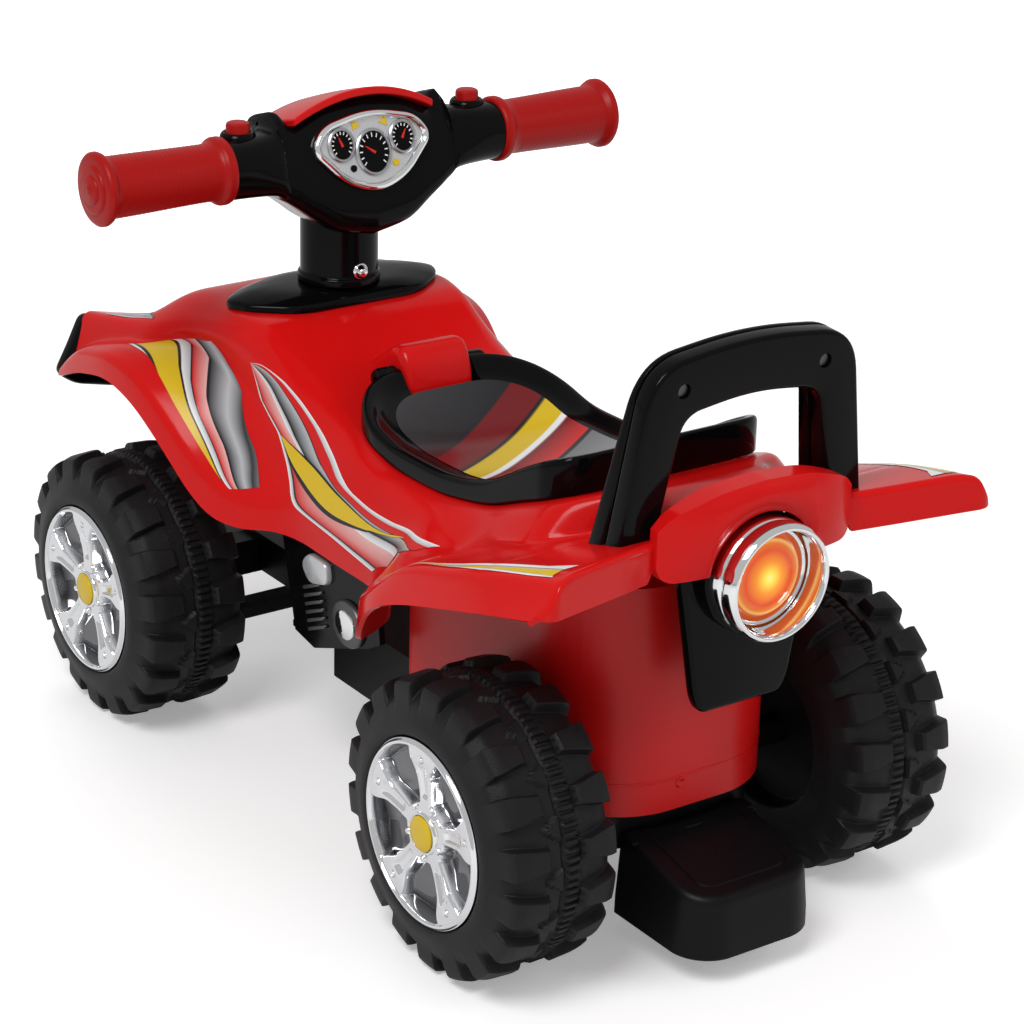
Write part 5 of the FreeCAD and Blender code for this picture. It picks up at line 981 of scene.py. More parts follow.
def make_tail_lamp():
    """Lamp: black bracket, chrome ring with two beads, and the domed amber lens."""
    centre = (0, 0, LAMP_HEIGHT)
    half = [(28, 158.6), (33, 168), (45.5, 240), (45.5, 264)]
    path = rounded(mirrored(half), np.array([3, 20, 8, 12, 12, 8, 20, 3]), 8)
    bracket = cushion("lamp_bracket", path, 268.6, 277.0, 2.6, facing_back)
    dress(bracket, "frame", "black", ["tail_lamp_bracket"])
    boss = [(-272, 0), (-272, 34), (-279.5, 35.2), (-284, 35.2), (-285.2, 34), (-285.2, 0)]
    piece = turned_object("lamp_boss", rounded(boss, 1.0, 3, closed=False), "y", centre)
    dress(piece, "frame", "black")
    ring = [(-285, 29.2), (-285, 34), (-293, 34), (-295, 32.6), (-297, 34.2), (-303, 34.2), (-306, 32.4),
            (-306, 30.6), (-303, 29.4), (-292, 29.0)]
    piece = turned_object("lamp_ring", rounded(ring, 1.2, 4), "y", centre, 128, closed=True)
    dress(piece, "frame", "chrome", ["tail_lamp_ring"])
    lens = [(-285.2, 0.0), (-285.2, LENS_RADIUS), (-287.5, LENS_RADIUS), (-288.4, 27.6), (-288.8, 26.0),
            (-289.4, 24.2), (-290.6, 23.6), (-292.4, 22.0), (-293.6, 17.0), (-294.4, 11.0), (-294.8, 5.0),
            (-294.9, 0.0)]
    piece = turned_object("lamp_lens", lens, "y", centre, sharp=60)
    dress(piece, "frame", "lens", ["tail_lamp_lens"])
    bezel = [(-285.4, 28.2), (-291.2, 28.2), (-291.2, 26.4), (-289.6, 25.4), (-288.2, 25.4)]
    piece = turned_object("lamp_inner_ring", rounded(bezel, 0.5, 3), "y", centre, closed=True)
    dress(piece, "frame", "chrome")


def tyre_points(lugs, lug_height, half_columns=22):
    """A rounded tyre profile carried round the axle, with lugs, seam teeth and a ribbed band on its tread.
    The columns of each lug are drawn together at the lug's two sides, which narrow towards the middle."""
    section = rounded([
        (12, 6.2), (12, 46), (0, 46.4), (0, 62), (4, 74.5), (12, 80.6), (26, 82.4), (39, TREAD_RADIUS),
        (52, 82.4), (66, 80.6), (74, 74.5), (TYRE_WIDTH, 62), (TYRE_WIDTH, 55.5), (64, 55.5), (64, 51),
        (17, 50), (16, 12), (58, 11.4), (58, 6.2)], 3.0, 4)
    fine, wall, mean_radius = [], 66, 82
    for first, second in zip(section, np.roll(section, -1, 0)):
        length = np.hypot(*(second - first))
        pieces = max(1, int(length / 1.5)) if min(first[1], second[1]) > wall else 1
        fine.append(first + (second - first) * np.linspace(0, 1, pieces, endpoint=False)[:, None])
    along, radius = (column[:, None] for column in np.concatenate(fine).T)
    pitch = 2 * np.pi / lugs
    half_pitch = pitch / 2 * mean_radius
    share = np.linspace(-1, 1, 2 * half_columns, endpoint=False)
    outer = TYRE_WIDTH - along
    reach = np.minimum(outer, along)
    lug_half, lug_taper, lug_end, seam_line = 8.8, 3.2, 28, 40.4
    half_width = lug_half - lug_taper * smoothstep(reach, 6, lug_end)
    drawn = edge_columns(np.abs(share), half_width, 1.7, half_pitch)
    loose = smoothstep(reach, lug_end, lug_end + 3)
    phase = drawn * (1 - loose) + np.abs(share) * half_pitch * loose
    local = np.sign(share) * phase / mean_radius
    turn = (local[:, None, :] + pitch * np.arange(lugs)[None, :, None]).reshape(len(local), -1)
    phase = np.tile(phase, lugs)
    lug = 1 - smoothstep(phase, half_width - 0.85, half_width + 0.85)
    lug = lug * (1 - smoothstep(reach, lug_end - 1, lug_end + 0.6))
    tooth_width = 1.2 + 0.62 * np.maximum(outer - lug_end, 0)
    tooth = 1 - smoothstep(half_pitch - phase, tooth_width, tooth_width + 1.2)
    tooth = tooth * smoothstep(outer, 26.0, 27.5) * (1 - smoothstep(outer, 36.4, 37.0))
    rib = smoothstep(np.abs((turn * lugs * 6 / (2 * np.pi)) % 1 - 0.5), 0.16, 0.30)
    rib = rib * smoothstep(along, 28.6, 29.4) * (1 - smoothstep(along, 38.4, 39.2))
    seam = np.exp(-((along - seam_line) / 0.8) ** 2)
    shoulder = smoothstep(radius, 71.5, 76.5)
    full = WHEEL_RADIUS - TREAD_RADIUS
    rise = lug * (full * lug_height / 6.0 + (TREAD_RADIUS - radius) * 0.55) * shoulder
    rise = np.maximum(rise, np.maximum(2.4 * tooth, 1.9 * rib) * shoulder) - 1.3 * seam * shoulder
    radius = np.minimum(radius + np.where(radius > wall, rise, 0), WHEEL_RADIUS)
    first, second = radius * np.sin(turn), radius * np.cos(turn)
    return np.stack([np.broadcast_to(along, first.shape), first, -second], -1)


def cap_points(spokes, depth, half_columns=44):
    """A hub cap as heights over radius and angle, with the share of window at each point: a thin rim, deep
    windows between spokes that flare into the rim, grooves along the spokes, bolts at their ends, nuts and
    a raised middle. The columns of each spoke are drawn together at its sides."""
    radius = np.concatenate([np.linspace(0, 49, 90), np.linspace(49.4, CAP_RADIUS, 19)])[:, None]
    half = np.pi / spokes
    half_width = 4.6 + 0.06 * np.maximum(radius - 16, 0) + 5.5 * smoothstep(radius, 34, 50)
    share = np.linspace(-1, 1, 2 * half_columns, endpoint=False)
    edge = np.minimum((half_width + 0.9) / np.maximum(radius, 1), 0.62 * half)
    width = np.minimum(3.0 / np.maximum(radius, 1), 0.4 * half)
    offset = edge_columns(np.abs(share), edge, width, half, 0.34, 0.58)
    turn = (np.sign(share) * offset)[:, None, :] + 2 * half * np.arange(spokes)[None, :, None]
    turn = turn.reshape(len(radius), -1)
    offset = np.tile(offset, spokes)
    sideways = radius * np.sin(offset)
    window = smoothstep(sideways, half_width - 0.5, half_width + 2.3) * smoothstep(radius, 17, 20.5)
    face_height, rim_height, rim_start, bolt_circle, nut_circle = 78.6, 79.8, 51.2, 45.5, 15.6
    window = window * (1 - smoothstep(radius, rim_start - 1.6, rim_start))
    face = face_height - 3.0 * (1 - smoothstep(radius, 20, 48))
    groove = 1.8 * (1 - smoothstep(sideways, half_width * 0.30, half_width * 0.66))
    groove = groove * smoothstep(radius, 20, 24) * (1 - smoothstep(radius, 37, 43))
    floor = depth * (0.72 + 0.28 * np.cos(np.pi * (half - offset) / half) * smoothstep(radius, 20, 34))
    height = face - floor * window - groove
    nut = np.hypot(radius * np.cos(half - offset) - nut_circle, radius * np.sin(half - offset))
    height = height + 1.8 * (1 - smoothstep(nut, 1.5, 2.2))
    bolt = np.hypot(radius * np.cos(offset) - bolt_circle, radius * np.sin(offset))
    height = height - 1.0 * (1 - smoothstep(bolt, 1.8, 2.4)) + 1.4 * (1 - smoothstep(bolt, 1.0, 1.6))
    height = height + 1.6 * (1 - smoothstep(radius, 11.8, 12.8)) - 1.0 * (1 - smoothstep(radius, 10.6, 11.0))
    rim = smoothstep(radius, rim_start, rim_start + 0.8)
    height = height * (1 - rim) + rim * (rim_height - 2.2 * smoothstep(radius, 53.0, CAP_RADIUS))
    height = np.concatenate([height, np.array([76.5, 66.0])[:, None] + np.zeros(height.shape[1])])
    window = np.concatenate([window, np.zeros((2, window.shape[1]))])
    radius = np.concatenate([radius, np.full((2, 1), float(CAP_RADIUS))])
    turn = np.concatenate([turn, turn[-1:], turn[-1:]])
    return np.stack([height, radius * np.sin(turn), radius * np.cos(turn)], -1), window


def make_wheels():
    """Four tyres with lugs and four hub caps with yellow middles."""
    sizes = bpy.context.scene.quad_sizes
    tyre = tyre_points(sizes.lug_count, sizes.lug_height / MM)
    cap, window = cap_points(sizes.spoke_count, sizes.window_depth / MM)
    shares = np.array([53.0, 46.0, 0.0])[:, None, None] / CAP_RADIUS
    back = cap[-1] * (0, 1, 1) * shares + np.array([66.0, 64.6, 64.6])[:, None, None] * (1, 0, 0)
    cap = np.concatenate([cap, back])
    window = np.concatenate([window, np.zeros((len(back), cap.shape[1]))])
    # Window share for the hub plating, which darkens the windows as painted shade
    shade = np.stack([window, np.zeros(cap.shape[:2])], -1)
    button = [(77.0, 0), (77.0, 10.4), (78.0, 10.4), (78.7, 9.6), (79.0, 6), (79.1, 0)]
    for end, y in AXLES:
        for name, side in SIDES:
            mirror, centre = np.array([side, 1, 1]), np.array([side * WHEEL_INNER, y, WHEEL_RADIUS])
            wheel = f"{end}_{name}"
            body = f"{wheel}_wheel"
            thing = ring_object(f"{wheel}_tread", tyre * mirror + centre, closed=True, sharp=30)
            dress(thing, body, "tyre", [f"{wheel}_tyre"])
            thing = ring_object(f"{wheel}_hubcap", cap * mirror + centre, uv=shade, sharp=50)
            dress(thing, body, "hub", [f"{wheel}_cap"])
            profile = [(side * along, radius) for along, radius in button]
            thing = turned_object(f"{wheel}_centre", profile, "x", centre, 64)
            dress(thing, body, "yellow")


def cowl_fall(y):
    """How far the housing's top drops from its rear edge towards the front."""
    return 0.31 * np.maximum(y - 114, 0)


def housing_points(rear_end, front_end, side_end, steps=96):
    """Superellipses from the deep middle of the handlebar, past a fin on each side, to its round arms.
    The rear face leans with the dial, and more towards the fins. The ends cut one half of it out."""
    table = np.array(HOUSING_SECTIONS)
    half = np.concatenate([np.linspace(0, 56, 36), np.linspace(57, 65, 21), np.linspace(67, BAR_END, 20)])
    half = half[half <= side_end]
    across = np.concatenate([-half[:0:-1], half])
    reach = np.abs(across)[:, None]
    values = smooth_between(table[:, 0], table[:, 1:], np.repeat(reach, 5, 1))
    foot, top, rear, front, square = (column[:, None] for column in values.T)
    angle = np.linspace(0, 2 * np.pi, steps, endpoint=False)[None]
    depth = signed_power(np.cos(angle), 2 / square)
    height = signed_power(np.sin(angle), 2 / square)
    z = (foot + top) / 2 + (top - foot) / 2 * height
    rearward = np.clip(-depth, 0, 1)
    lean = math.tan(GAUGE_TILT) * smoothstep(BAR_END - reach, 4, 40)
    middle = 1 - smoothstep(reach, 60.4, 61.6)
    y = (rear + front) / 2 + (front - rear) / 2 * depth + lean * (z - 378.0) * rearward
    y = y + 0.26 * smoothstep(reach, 28, 58) * middle * np.maximum(z - 380, 0) * rearward
    y = np.clip(y, rear_end, front_end)
    z = z - cowl_fall(y) * smoothstep(height, -0.2, 0.9) * middle
    return np.stack([np.broadcast_to(across[:, None], y.shape), y, z], -1)


def closed_tube(name, points):
    """A tube of rings whose two ends are closed on their middles."""
    ends = [np.broadcast_to(points[k].mean(0), points[k].shape)[None] for k in (0, -1)]
    return ring_object(name, np.concatenate([ends[0], points, ends[1]]))


def make_handlebar():
    """Housing halves, red cowl, grips, buttons in their sockets, neck and the plate at its foot."""
    split, seam = 140.0, 0.15
    behind, ahead, front_half = 0, 200, 63
    rear = housing_points(behind, split - seam, BAR_END)
    front = housing_points(split + seam, ahead, front_half)
    cutters = []
    for name, side in SIDES:
        for label, radius, low, high in (("well", 9.4, 380, 395.5), ("mouth", 7.9, 395.4, 412)):
            outline = ellipse((side * BUTTON[0], BUTTON[1]), radius, radius, 48)
            cutters.append(prism_object(f"{name}_{label}", outline, low, high))
    housing = carve(closed_tube("housing_rear", rear), *cutters)
    dress(housing, "handlebar", "black", ["bar_rear_cover"])
    housing = closed_tube("housing_front", front)
    dress(housing, "handlebar", "black", ["bar_front_cover", "battery_door"])
    for name, side in SIDES:
        make_button(name, side)
        make_grip(name, side)
    make_cowl()
    make_neck()
    paint_nodes("steel", "steering_rod", "cover_screws", "left_button_spring",
                "right_button_spring", "speaker")
    paint_nodes("board", "sound_board")
    paint_nodes("cell", "batteries")


def make_button(name, side):
    """Push button in its socket."""
    centre = (side * BUTTON[0], BUTTON[1], 0)
    socket = rounded([(396, 8.0), (401.5, 8.0), (401.5, 9.6), (399.5, 11.0), (396, 11.4)], 0.8, 3)
    piece = turned_object(f"{name}_socket", socket, "z", centre, 64, closed=True)
    dress(piece, "handlebar", "black")
    cap = [(392.3, 0), (392.3, 8.9), (394.6, 8.9), (394.7, 7.4), (405.6, 7.4), (406.8, 6.9), (407.4, 5.8),
           (407.6, 4.0), (407.7, 0)]
    piece = turned_object(f"{name}_push_button", cap, "z", centre, 64)
    dress(piece, f"{name}_push", "grip", [f"{name}_button"])


def make_neck():
    """Neck, the plate at its foot and the dome nut on its bolt."""
    neck = [(290.8, 0), (290.8, 26.6), (295.5, 26.6), (297, 25), (336, 25), (340, 24), (340, 0)]
    piece = turned_object("neck_tube", rounded(neck, 1.2, 4, closed=False), "z", (*COLUMN, 0))
    dress(piece, "handlebar", "black", ["steering_neck"])
    make_column_plate()
    nut = [(119.4, 0), (119.4, 5.2), (118.0, 5.4), (117.2, 4.0), (115.6, 3.8), (113.6, 2.6), (112.8, 0)]
    piece = turned_object("neck_nut", rounded(nut, 0.6, 3, closed=False), "y", (0, 0, 301.3), 48)
    dress(piece, "handlebar", "chrome", ["neck_bolt"])


def make_grip(name, side):
    """Grip turned about the bar: collar, faintly barrelled and ribbed middle, end flange and stepped end."""
    along = np.linspace(111, 177, 67)
    barrel = 17.6 + 1.1 * smoothstep(along, 111, 175) + 0.10 * np.cos(2 * np.pi * along / 3.0)
    collar = [(BAR_END, 11.1), (BAR_END, 19.0), (98.6, 20.4), (100.2, 21.0), (103.2, 21.0), (104.8, 20.4),
              (105.6, 19.2), (108, 18.0)]
    flange = [(178.6, 19.6), (180.2, 21.6), (182.0, 22.5), (184.2, 22.4), (185.6, 21.2), (186.2, 19.4),
              (186.4, 15.2), (187.6, 14.6), (187.9, 13.6), (187.9, 9.4), (189.0, 8.8), (189.3, 7.8),
              (189.3, 3.4), (189.9, 2.6), (190.0, 0.0)]
    profile = [(side * x, radius) for x, radius in (*collar, *zip(along, barrel), *flange)]
    grip = turned_object(f"{name}_hand_grip", profile, "x", (0, *BAR), sharp=50)
    dress(grip, "handlebar", "grip", [f"{name}_grip"])


def make_cowl():
    """Red cowl: an arched strip over the housing from its rear edge to its front."""
    half, top, drop, start, end, thickness = 51, 421.2, 14.0, 112.5, 169, 5.0
    across = np.linspace(-half, half, 61)
    along = np.linspace(0, 1, 24)[:, None]
    crown = top - drop * (np.abs(across) / half) ** 2.0
    rear = start + 0.10 * (top - crown)
    y = rear + along * (end - rear)
    z = crown + 0.8 * np.sin(np.pi * along) - cowl_fall(y)
    outer = np.stack([np.broadcast_to(across, y.shape), y, z], -1)
    cowl = solid_sheet("cowl", outer, outer - (0, 0, thickness))
    round_edges(cowl, 1.4)
    dress(cowl, "handlebar", "red", ["cowl_trim"])


def make_column_plate():
    """Plate at the neck's foot: a smooth outline that steps in and domes up to the neck."""
    half = [(45, -32.3), (72, -10.2), (79, 5), (63, 20.4), (35.5, 32.3)]
    path = rounded(half + [(-x, y) for x, y in reversed(half)], 14, 10)
    foot, top = 280.0, 290.2
    steps = ((0.97, foot), (1.0, 280.6), (1.0, 283.4), (0.985, 284.6), (0.95, 285.6), (0.80, 288.6),
             (0.62, 289.8), (0.40, top))
    middle, hole_radius = (0, 149), 6.1
    rings = [at_height(path * share + middle, z) for share, z in steps]
    hole = np.linspace(0, 2 * np.pi, len(path), endpoint=False) + math.atan2(*path[0][::-1])
    circle = hole_radius * np.column_stack([np.cos(hole), np.sin(hole)]) + COLUMN
    rings += [at_height(circle, top), at_height(circle, foot)]
    plate = ring_object("column_plate", rings, closed=True)
    dress(plate, "frame", "black", ["column_bezel"])


def on_dial(points):
    """Moves points (across, up the slope, outwards) onto the sloping dial plane."""
    across, up, out = np.moveaxis(np.asarray(points, float), -1, 0)
    cosine, sine = math.cos(GAUGE_TILT), math.sin(GAUGE_TILT)
    y, z = up * sine - out * cosine, up * cosine + out * sine
    return np.stack([across, GAUGE_FOOT[0] + y, GAUGE_FOOT[1] + z], -1)


def dial_rings(name, path, profile):
    """A closed ring: a profile of (inset, height) carried round a path on the dial plane."""
    inward = path_normals(path)
    rings = np.stack([at_height(path + inward * inset, out) for inset, out in profile])
    return ring_object(name, on_dial(rings), closed=True)


def dial_disc(name, path, low, high):
    """A flat disc on the dial plane between two heights, closed on its middle."""
    middle = path.mean(0)
    steps = ((0.0, low), (1.0, low), (1.0, high), (0.0, high))
    rings = np.stack([at_height(middle + (path - middle) * share, out) for share, out in steps])
    return ring_object(name, on_dial(rings))


def dial_ticks(name, centre, width, stretch):
    """Tick marks of a dial: thin flat bars at even angles, all in one mesh."""
    count, half, inner, outer = 13, 0.35, width * 0.70, width * 0.90
    angle = np.linspace(math.radians(-40), math.radians(220), count)[:, None]
    aside = np.array([half, -half, -half, half])
    reach = np.array([inner, inner, outer, outer])
    x = centre[0] + np.cos(angle) * reach - np.sin(angle) * aside
    y = centre[1] + (np.sin(angle) * reach + np.cos(angle) * aside) * stretch
    flat = np.stack([x, y, np.full(x.shape, 4.15)], -1).reshape(-1, 3)
    return new_object(name, on_dial(flat), np.arange(4 * count).reshape(-1, 4), weld=False)


def make_gauge():
    """Chrome bezel, silver dial plate, three dials with ticks and needles, and four small tell-tales."""

    def fit(thing, finish, nodes=()):
        """Fixes a piece of the dial to the handlebar."""
        dress(thing, "handlebar", finish, nodes)

    path = rounded(GAUGE_OUTLINE, 17, 10)
    bezel = ((0.0, -3.0), (0.0, 2.6), (0.5, 4.4), (1.6, 5.7), (2.8, 6.0), (4.0, 5.4), (4.8, 4.2),
             (5.4, 3.2), (5.4, -3.0))
    fit(dial_rings("dial_bezel", path, bezel), "chrome", ["gauge_bezel"])
    fit(dial_disc("dial_plate", path + path_normals(path) * 5.0, -1.0, 3.0), "silver", ["gauge_face"])
    rim = ((-1.6, 3.0), (-1.6, 4.2), (-0.8, 4.9), (0.2, 4.9), (0.6, 4.2), (0.6, 3.0))
    for name, centre, width, height, lean in (
            ("middle", (0, 26), 11.4, 13.2, 55), ("left", (-22.2, 32.8), 8.2, 9.2, 20),
            ("right", (22.2, 32.8), 8.2, 9.2, -30)):
        outline = ellipse(centre, width, height)
        fit(dial_rings(f"dial_{name}_rim", outline, rim), "steel")
        fit(dial_disc(f"dial_{name}_face", outline, 3.0, 4.0), "black")
        fit(dial_ticks(f"dial_{name}_ticks", centre, width, height / width), "white")
        tip = np.array([(-0.9, -1.2), (0.9, -1.2), (0.25, width * 0.62), (-0.25, width * 0.62)])
        fit(dial_disc(f"dial_{name}_needle", turned_flat(tip, lean) + centre, 4.0, 4.6), "needle")
    for name, side in SIDES:
        arrow = np.array([(side * 6.5, 43.5), (side * 12.5, 46.5), (side * 12.5, 40.8)])[::side]
        fit(dial_disc(f"dial_{name}_arrow", arrow, 3.0, 3.5), "yellow")
        spot = dial_disc(f"dial_{name}_spot", ellipse((side * 15.5, 17.5), 2.2, 2.2, 24), 3.0, 3.6)
        fit(spot, "yellow" if side > 0 else "black")


def make_underframe():
    """Under-frame, axles, steering gear, rear foot, engine panels and front panel."""
    for node, width in (("chassis", 1.0), ("front_axle_beam", 1.2), ("left_knuckle", 0.8),
                        ("right_knuckle", 0.8), ("tie_rod", 0.8)):
        softened(node, width, "matte")
    paint_nodes("matte", "rear_spacers", "column_bush")
    paint_nodes("steel", "rear_axle", "left_stub_axle", "right_stub_axle", "kingpins",
                "rear_retainers", "front_left_retainer", "front_right_retainer", "body_screws",
                "seat_hinge_pin")
    make_front_panel()
    make_step()
    for name, side in SIDES:
        softened(f"engine_panel_{name}", 1.2, "black")
        make_engine_relief(name, side)


def make_front_panel():
    """Front panel behind the nose, its foot rising to the fenders, and the bumper on its middle.
    The panel's path starts at its left tip, so that its ends join its foot to its dipping top."""
    half = [(60, 186.5), (84, 187.5), (117, 195), (129, 203.5), (119, 221.5), (109, 242), (57, 231)]
    path = rounded(mirrored(half), 6, 5)
    corner = len(path) // (2 * len(half))
    path = np.roll(path, -3 * corner - corner // 2, axis=0)
    panel = cushion("front_panel", path, 286.5, 300.1, 4.5, facing_forward)
    dress(panel, "frame", "black", ["front_fascia"])
    path = rounded(mirrored([(58, 188.5), (62, 200), (58, 211)]), 5, 5)
    bumper = cushion("front_bumper", path, 298, 306, 3.0, facing_forward)
    dress(bumper, "frame", "black")


def make_step():
    """Rear foot: a wedge with rounded rear corners whose tread slopes back, with a grooved pad on it."""
    path = outline_path(*REAR_FOOT, arc=16, run=24)
    inward = path_normals(path)
    spine = np.column_stack([np.zeros(len(path)), np.clip(path[:, 1], -285, -245)])

    def tread(ring, drop=0.0):
        """A ring laid on the sloping tread, or a drop below it."""
        return at_height(ring, 70 - 14.5 * smoothstep(-ring[:, 1], 215, 312) - drop)

    wall = ((6, 19), (4, 18), (0.8, 18), (0, 18.8), (0.2, 30))
    edge = ((2.2, 6.0), (2.6, 3.4), (3.8, 1.4), (6.0, 0.2), (9.0, 0.0), (13.0, 0.0), (13.4, 0.7),
            (14.4, 0.9), (15.4, 0.7), (15.8, 0.0))
    rings = [at_height(spine, 19.0)]
    rings += [at_height(path + inward * inset, z) for inset, z in wall]
    rings += [tread(path + inward * inset, drop) for inset, drop in edge]
    last = path + inward * edge[-1][0]
    rings += [tread(last + (spine - last) * share) for share in (0.5, 1.0)]
    dress(ring_object("foot_wedge", rings), "frame", "matte", ["rear_step"])


def make_engine_relief(name, side):
    """Raised engine shapes on a side panel: a finned barrel, a rocker cover and a round case."""
    panel, long, thick, fins, lean = 89.8, 11, 1.1, 6, -24
    first, step = np.array([22.0, 112.0]), np.array([1.2, 5.2])
    fin = rounded([(-long, -thick), (long, -thick), (long, thick), (-long, thick)], 1.0, 4)
    shapes = [(f"fin_{k}", turned_flat(fin, lean) + first + step * k, 2.4, "iron") for k in range(fins)]
    rocker = rounded([(6, 146), (28, 140), (38, 150), (30, 160), (8, 160)], 6, 6)
    middle = (-14, 128)
    shapes += [("rocker", rocker, 4.0, "silver"), ("case", ellipse(middle, 17, 15), 3.4, "iron"),
               ("case_ring", ellipse(middle, 11, 9.6), 4.6, "chrome")]
    steps = ((0.0, 0.0), (1.0, 0.0), (1.0, 0.6), (0.95, 0.9), (0.86, 1.0), (0.0, 1.0))
    for label, outline, lift, finish in shapes:
        middle = outline.mean(0)
        rings = [at_height(middle + (outline - middle) * share, side * (panel + lift * rise))
                 for share, rise in steps]
        piece = ring_object(f"engine_{name}_{label}", facing_sideways(np.stack(rings)))
        dress(piece, "frame", finish)


def make_stage():
    """Pale floor, soft studio lights, white surroundings and the photograph's camera."""
    scene = bpy.context.scene
    scene.view_settings.view_transform = "Standard"
    make_floor(scene)
    make_world(scene)
    make_lights(scene)
    make_camera(scene)


def make_floor(scene):
    """Pale floor that turns white away from the object, as the camera sees it."""
    mesh = bpy.data.meshes.new("floor")
    half = 8
    corners = [(-half, -half, 0), (half, -half, 0), (half, half, 0), (-half, half, 0)]
    mesh.from_pydata(corners, [], [(0, 1, 2, 3)])
    floor = bpy.data.objects.new("floor", mesh)
    scene.collection.objects.link(floor)
    material, tree, shader = new_material("pale floor")
    place = add_node(tree, "TexCoord").outputs["Object"]
    noise = add_node(tree, "TexNoise", {"Vector": place, "Scale": 3.0}).outputs["Fac"]
    far = add_node(tree, "VectorMath", {0: place}, operation="LENGTH").outputs["Value"]
    away = add_node(tree, "MapRange", {"Value": far, "From Min": 0.6, "From Max": 2.2, "To Min": 0.30,
                                       "To Max": 1.0}, interpolation_type="SMOOTHSTEP").outputs["Result"]
    seen = add_node(tree, "LightPath").outputs["Is Camera Ray"]
    feed(tree, shader, {
        "Base Color": add_ramp(tree, noise, ((0.0, (0.86, 0.86, 0.86)), (1.0, (0.89, 0.89, 0.89)))),
        "Roughness": 0.9, "Emission Color": (1, 1, 1, 1),
        "Emission Strength": add_math(tree, "MULTIPLY", seen, away)})
    mesh.materials.append(material)


def make_world(scene):
    """Surroundings that are white to the camera and through glass, and dimmer as light and in mirrors."""
    world = bpy.data.worlds.new("studio")
    scene.world = world
    world.use_nodes = True
    tree = world.node_tree
    rays = add_node(tree, "LightPath").outputs
    in_mirrors = add_math(tree, "MULTIPLY", rays["Is Glossy Ray"], 0.20)
    seen = add_math(tree, "MAXIMUM", rays["Is Camera Ray"], in_mirrors)
    share = add_math(tree, "MAXIMUM", seen, rays["Is Transmission Ray"])
    strength = add_node(tree, "MapRange", {"Value": share, "To Min": 0.38, "To Max": 1.0})
    feed(tree, tree.nodes["Background"], {"Color": (1, 1, 1, 1), "Strength": strength.outputs["Result"]})


def make_lights(scene):
    """Three soft lights; only the key light shows in mirrors."""
    for name, place, height, size, power in (
            ("key", (-1.5, -0.9, 2.3), 0.15, 1.1, 42), ("fill", (1.8, -1.6, 1.4), 0.2, 1.4, 16),
            ("back", (0.6, 2.0, 1.9), 0.2, 1.4, 18)):
        lamp = bpy.data.lights.new(name, "AREA")
        lamp.energy = power
        lamp.size = size
        holder = bpy.data.objects.new(name, lamp)
        scene.collection.objects.link(holder)
        holder.location = place
        holder.visible_glossy = name == "key"
        aim = Vector((0, 0, height)) - Vector(place)
        holder.rotation_euler = aim.to_track_quat("-Z", "Y").to_euler()


def make_camera(scene):
    """The photograph's camera."""
    camera = bpy.data.cameras.new("camera")
    camera.lens = CAMERA_LENS
    camera.sensor_width = 36.0
    camera.clip_end = 50
    holder = bpy.data.objects.new("camera", camera)
    scene.collection.objects.link(holder)
    axes = (CAMERA_RIGHT, CAMERA_UP, [-part for part in CAMERA_FORWARD], CAMERA_EYE)
    holder.matrix_world = Matrix([[axis[k] for axis in axes] for k in range(3)] + [[0, 0, 0, 1]])
    scene.camera = holder


class QUAD_OT_stage(bpy.types.Operator):
    """Floor, lights and camera"""

    bl_idname = "quad.stage"
    bl_label = "Stage"
    bl_options = {"REGISTER", "UNDO"}

    def execute(self, context):
        """Builds this group of pieces."""
        make_stage()
        return {"FINISHED"}


class QUAD_OT_shell(bpy.types.Operator):
    """Red skin of tank, fenders and deck"""

    bl_idname = "quad.shell"
    bl_label = "Shell"
    bl_options = {"REGISTER", "UNDO"}

    def execute(self, context):
        """Builds this group of pieces."""
        make_shell()
        return {"FINISHED"}


class QUAD_OT_tub(bpy.types.Operator):
    """Storage tub under the seat"""

    bl_idname = "quad.tub"
    bl_label = "Tub"
    bl_options = {"REGISTER", "UNDO"}

    def execute(self, context):
        """Builds this group of pieces."""
        make_tub()
        return {"FINISHED"}


class QUAD_OT_seat(bpy.types.Operator):
    """Hinged seat and its hinge cover"""

    bl_idname = "quad.seat"
    bl_label = "Seat"
    bl_options = {"REGISTER", "UNDO"}

    def execute(self, context):
        """Builds this group of pieces."""
        make_seat()
        return {"FINISHED"}


class QUAD_OT_handle(bpy.types.Operator):
    """Carry handle behind the seat"""

    bl_idname = "quad.handle"
    bl_label = "Handle"
    bl_options = {"REGISTER", "UNDO"}

    def execute(self, context):
        """Builds this group of pieces."""
        make_handle()
        return {"FINISHED"}


class QUAD_OT_tail_lamp(bpy.types.Operator):
    """Lamp bracket, ring and lens"""

    bl_idname = "quad.tail_lamp"
    bl_label = "Tail lamp"
    bl_options = {"REGISTER", "UNDO"}

    def execute(self, context):
        """Builds this group of pieces."""
        make_tail_lamp()
        return {"FINISHED"}


class QUAD_OT_wheels(bpy.types.Operator):
    """Tyres and hub caps"""

    bl_idname = "quad.wheels"
    bl_label = "Wheels"
    bl_options = {"REGISTER", "UNDO"}

    def execute(self, context):
        """Builds this group of pieces."""
        make_wheels()
        return {"FINISHED"}


class QUAD_OT_handlebar(bpy.types.Operator):
    """Housing, grips, buttons, neck and plate"""

    bl_idname = "quad.handlebar"
    bl_label = "Handlebar"
    bl_options = {"REGISTER", "UNDO"}

    def execute(self, context):
        """Builds this group of pieces."""
        make_handlebar()
        return {"FINISHED"}


class QUAD_OT_gauge(bpy.types.Operator):
    """Dial plate with its bezel and dials"""

    bl_idname = "quad.gauge"
    bl_label = "Gauge"
    bl_options = {"REGISTER", "UNDO"}

    def execute(self, context):
        """Builds this group of pieces."""
        make_gauge()
        return {"FINISHED"}


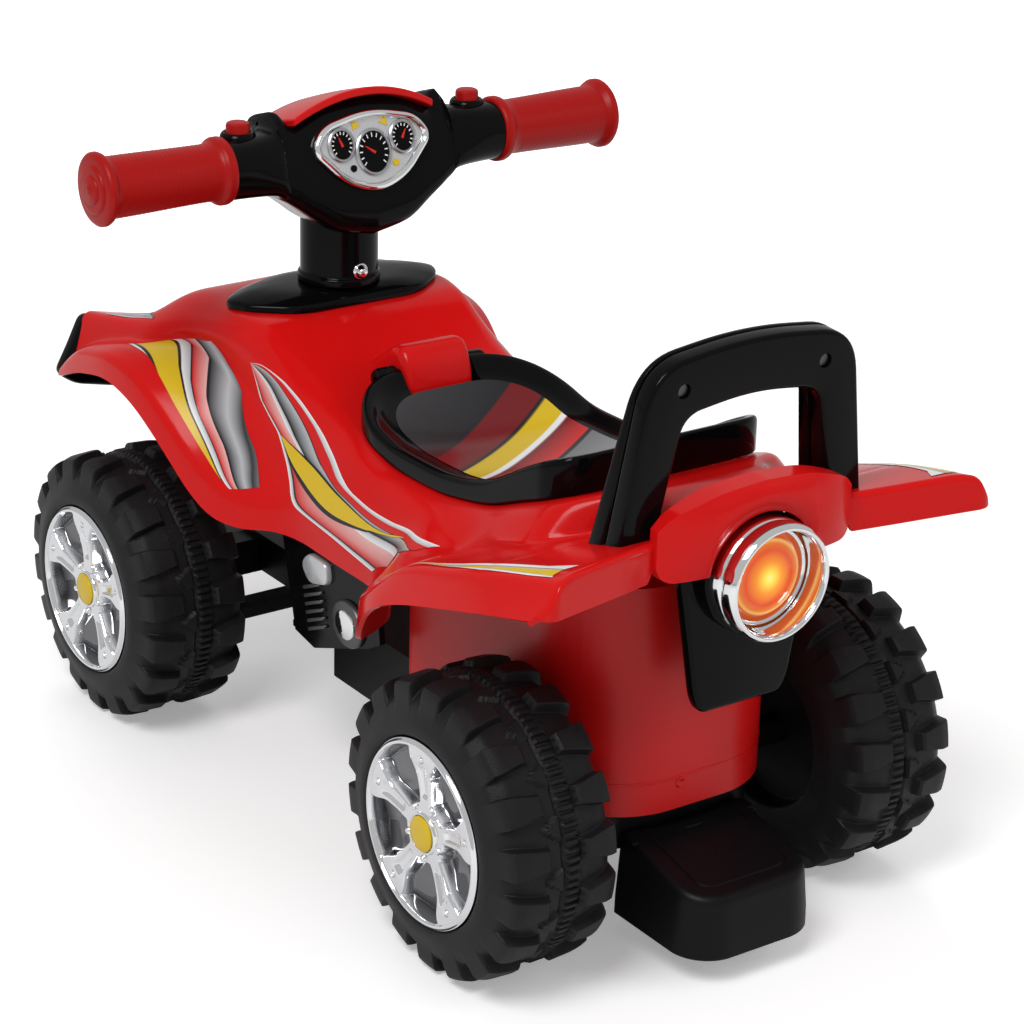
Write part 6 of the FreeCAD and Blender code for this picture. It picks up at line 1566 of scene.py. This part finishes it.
class QUAD_OT_stickers(bpy.types.Operator):
    """Printed bands on the skin"""

    bl_idname = "quad.stickers"
    bl_label = "Stickers"
    bl_options = {"REGISTER", "UNDO"}

    def execute(self, context):
        """Builds this group of pieces."""
        make_stickers()
        return {"FINISHED"}


class QUAD_OT_underframe(bpy.types.Operator):
    """Frame, axles, steering, foot and panels"""

    bl_idname = "quad.underframe"
    bl_label = "Under-frame"
    bl_options = {"REGISTER", "UNDO"}

    def execute(self, context):
        """Builds this group of pieces."""
        make_underframe()
        return {"FINISHED"}


OPERATORS = (
    QUAD_OT_stage, QUAD_OT_shell, QUAD_OT_tub, QUAD_OT_seat, QUAD_OT_handle, QUAD_OT_tail_lamp,
    QUAD_OT_wheels, QUAD_OT_handlebar, QUAD_OT_gauge, QUAD_OT_stickers, QUAD_OT_underframe,
)


class QUAD_PT_panel(bpy.types.Panel):
    """Lists the quad's colours, sizes and pieces."""

    bl_label = "Kids Quad Bike"
    bl_idname = "QUAD_PT_panel"
    bl_space_type = "VIEW_3D"
    bl_region_type = "UI"
    bl_category = "Quad"

    def draw(self, context):
        """Draws the properties and one button for each operator."""
        column = self.layout.column()
        for group in (context.scene.quad_colours, context.scene.quad_sizes):
            for name in group.__annotations__:
                column.prop(group, name)
        for operator in OPERATORS:
            column.operator(operator.bl_idname)


CLASSES = (QuadColours, QuadSizes, *OPERATORS, QUAD_PT_panel)


def register():
    """Registers the classes and hangs the properties on the scene."""
    for item in CLASSES:
        bpy.utils.register_class(item)
    bpy.types.Scene.quad_colours = bpy.props.PointerProperty(type=QuadColours)
    bpy.types.Scene.quad_sizes = bpy.props.PointerProperty(type=QuadSizes)


def unregister():
    """Removes the properties and the classes."""
    del bpy.types.Scene.quad_sizes
    del bpy.types.Scene.quad_colours
    for item in reversed(CLASSES):
        bpy.utils.unregister_class(item)


def main():
    register()
    bpy.ops.quad.stage()
    bpy.ops.quad.shell()
    bpy.ops.quad.tub()
    bpy.ops.quad.seat()
    bpy.ops.quad.handle()
    bpy.ops.quad.tail_lamp()
    bpy.ops.quad.wheels()
    bpy.ops.quad.handlebar()
    bpy.ops.quad.gauge()
    bpy.ops.quad.stickers()
    bpy.ops.quad.underframe()


if __name__ == "__main__":
    main()
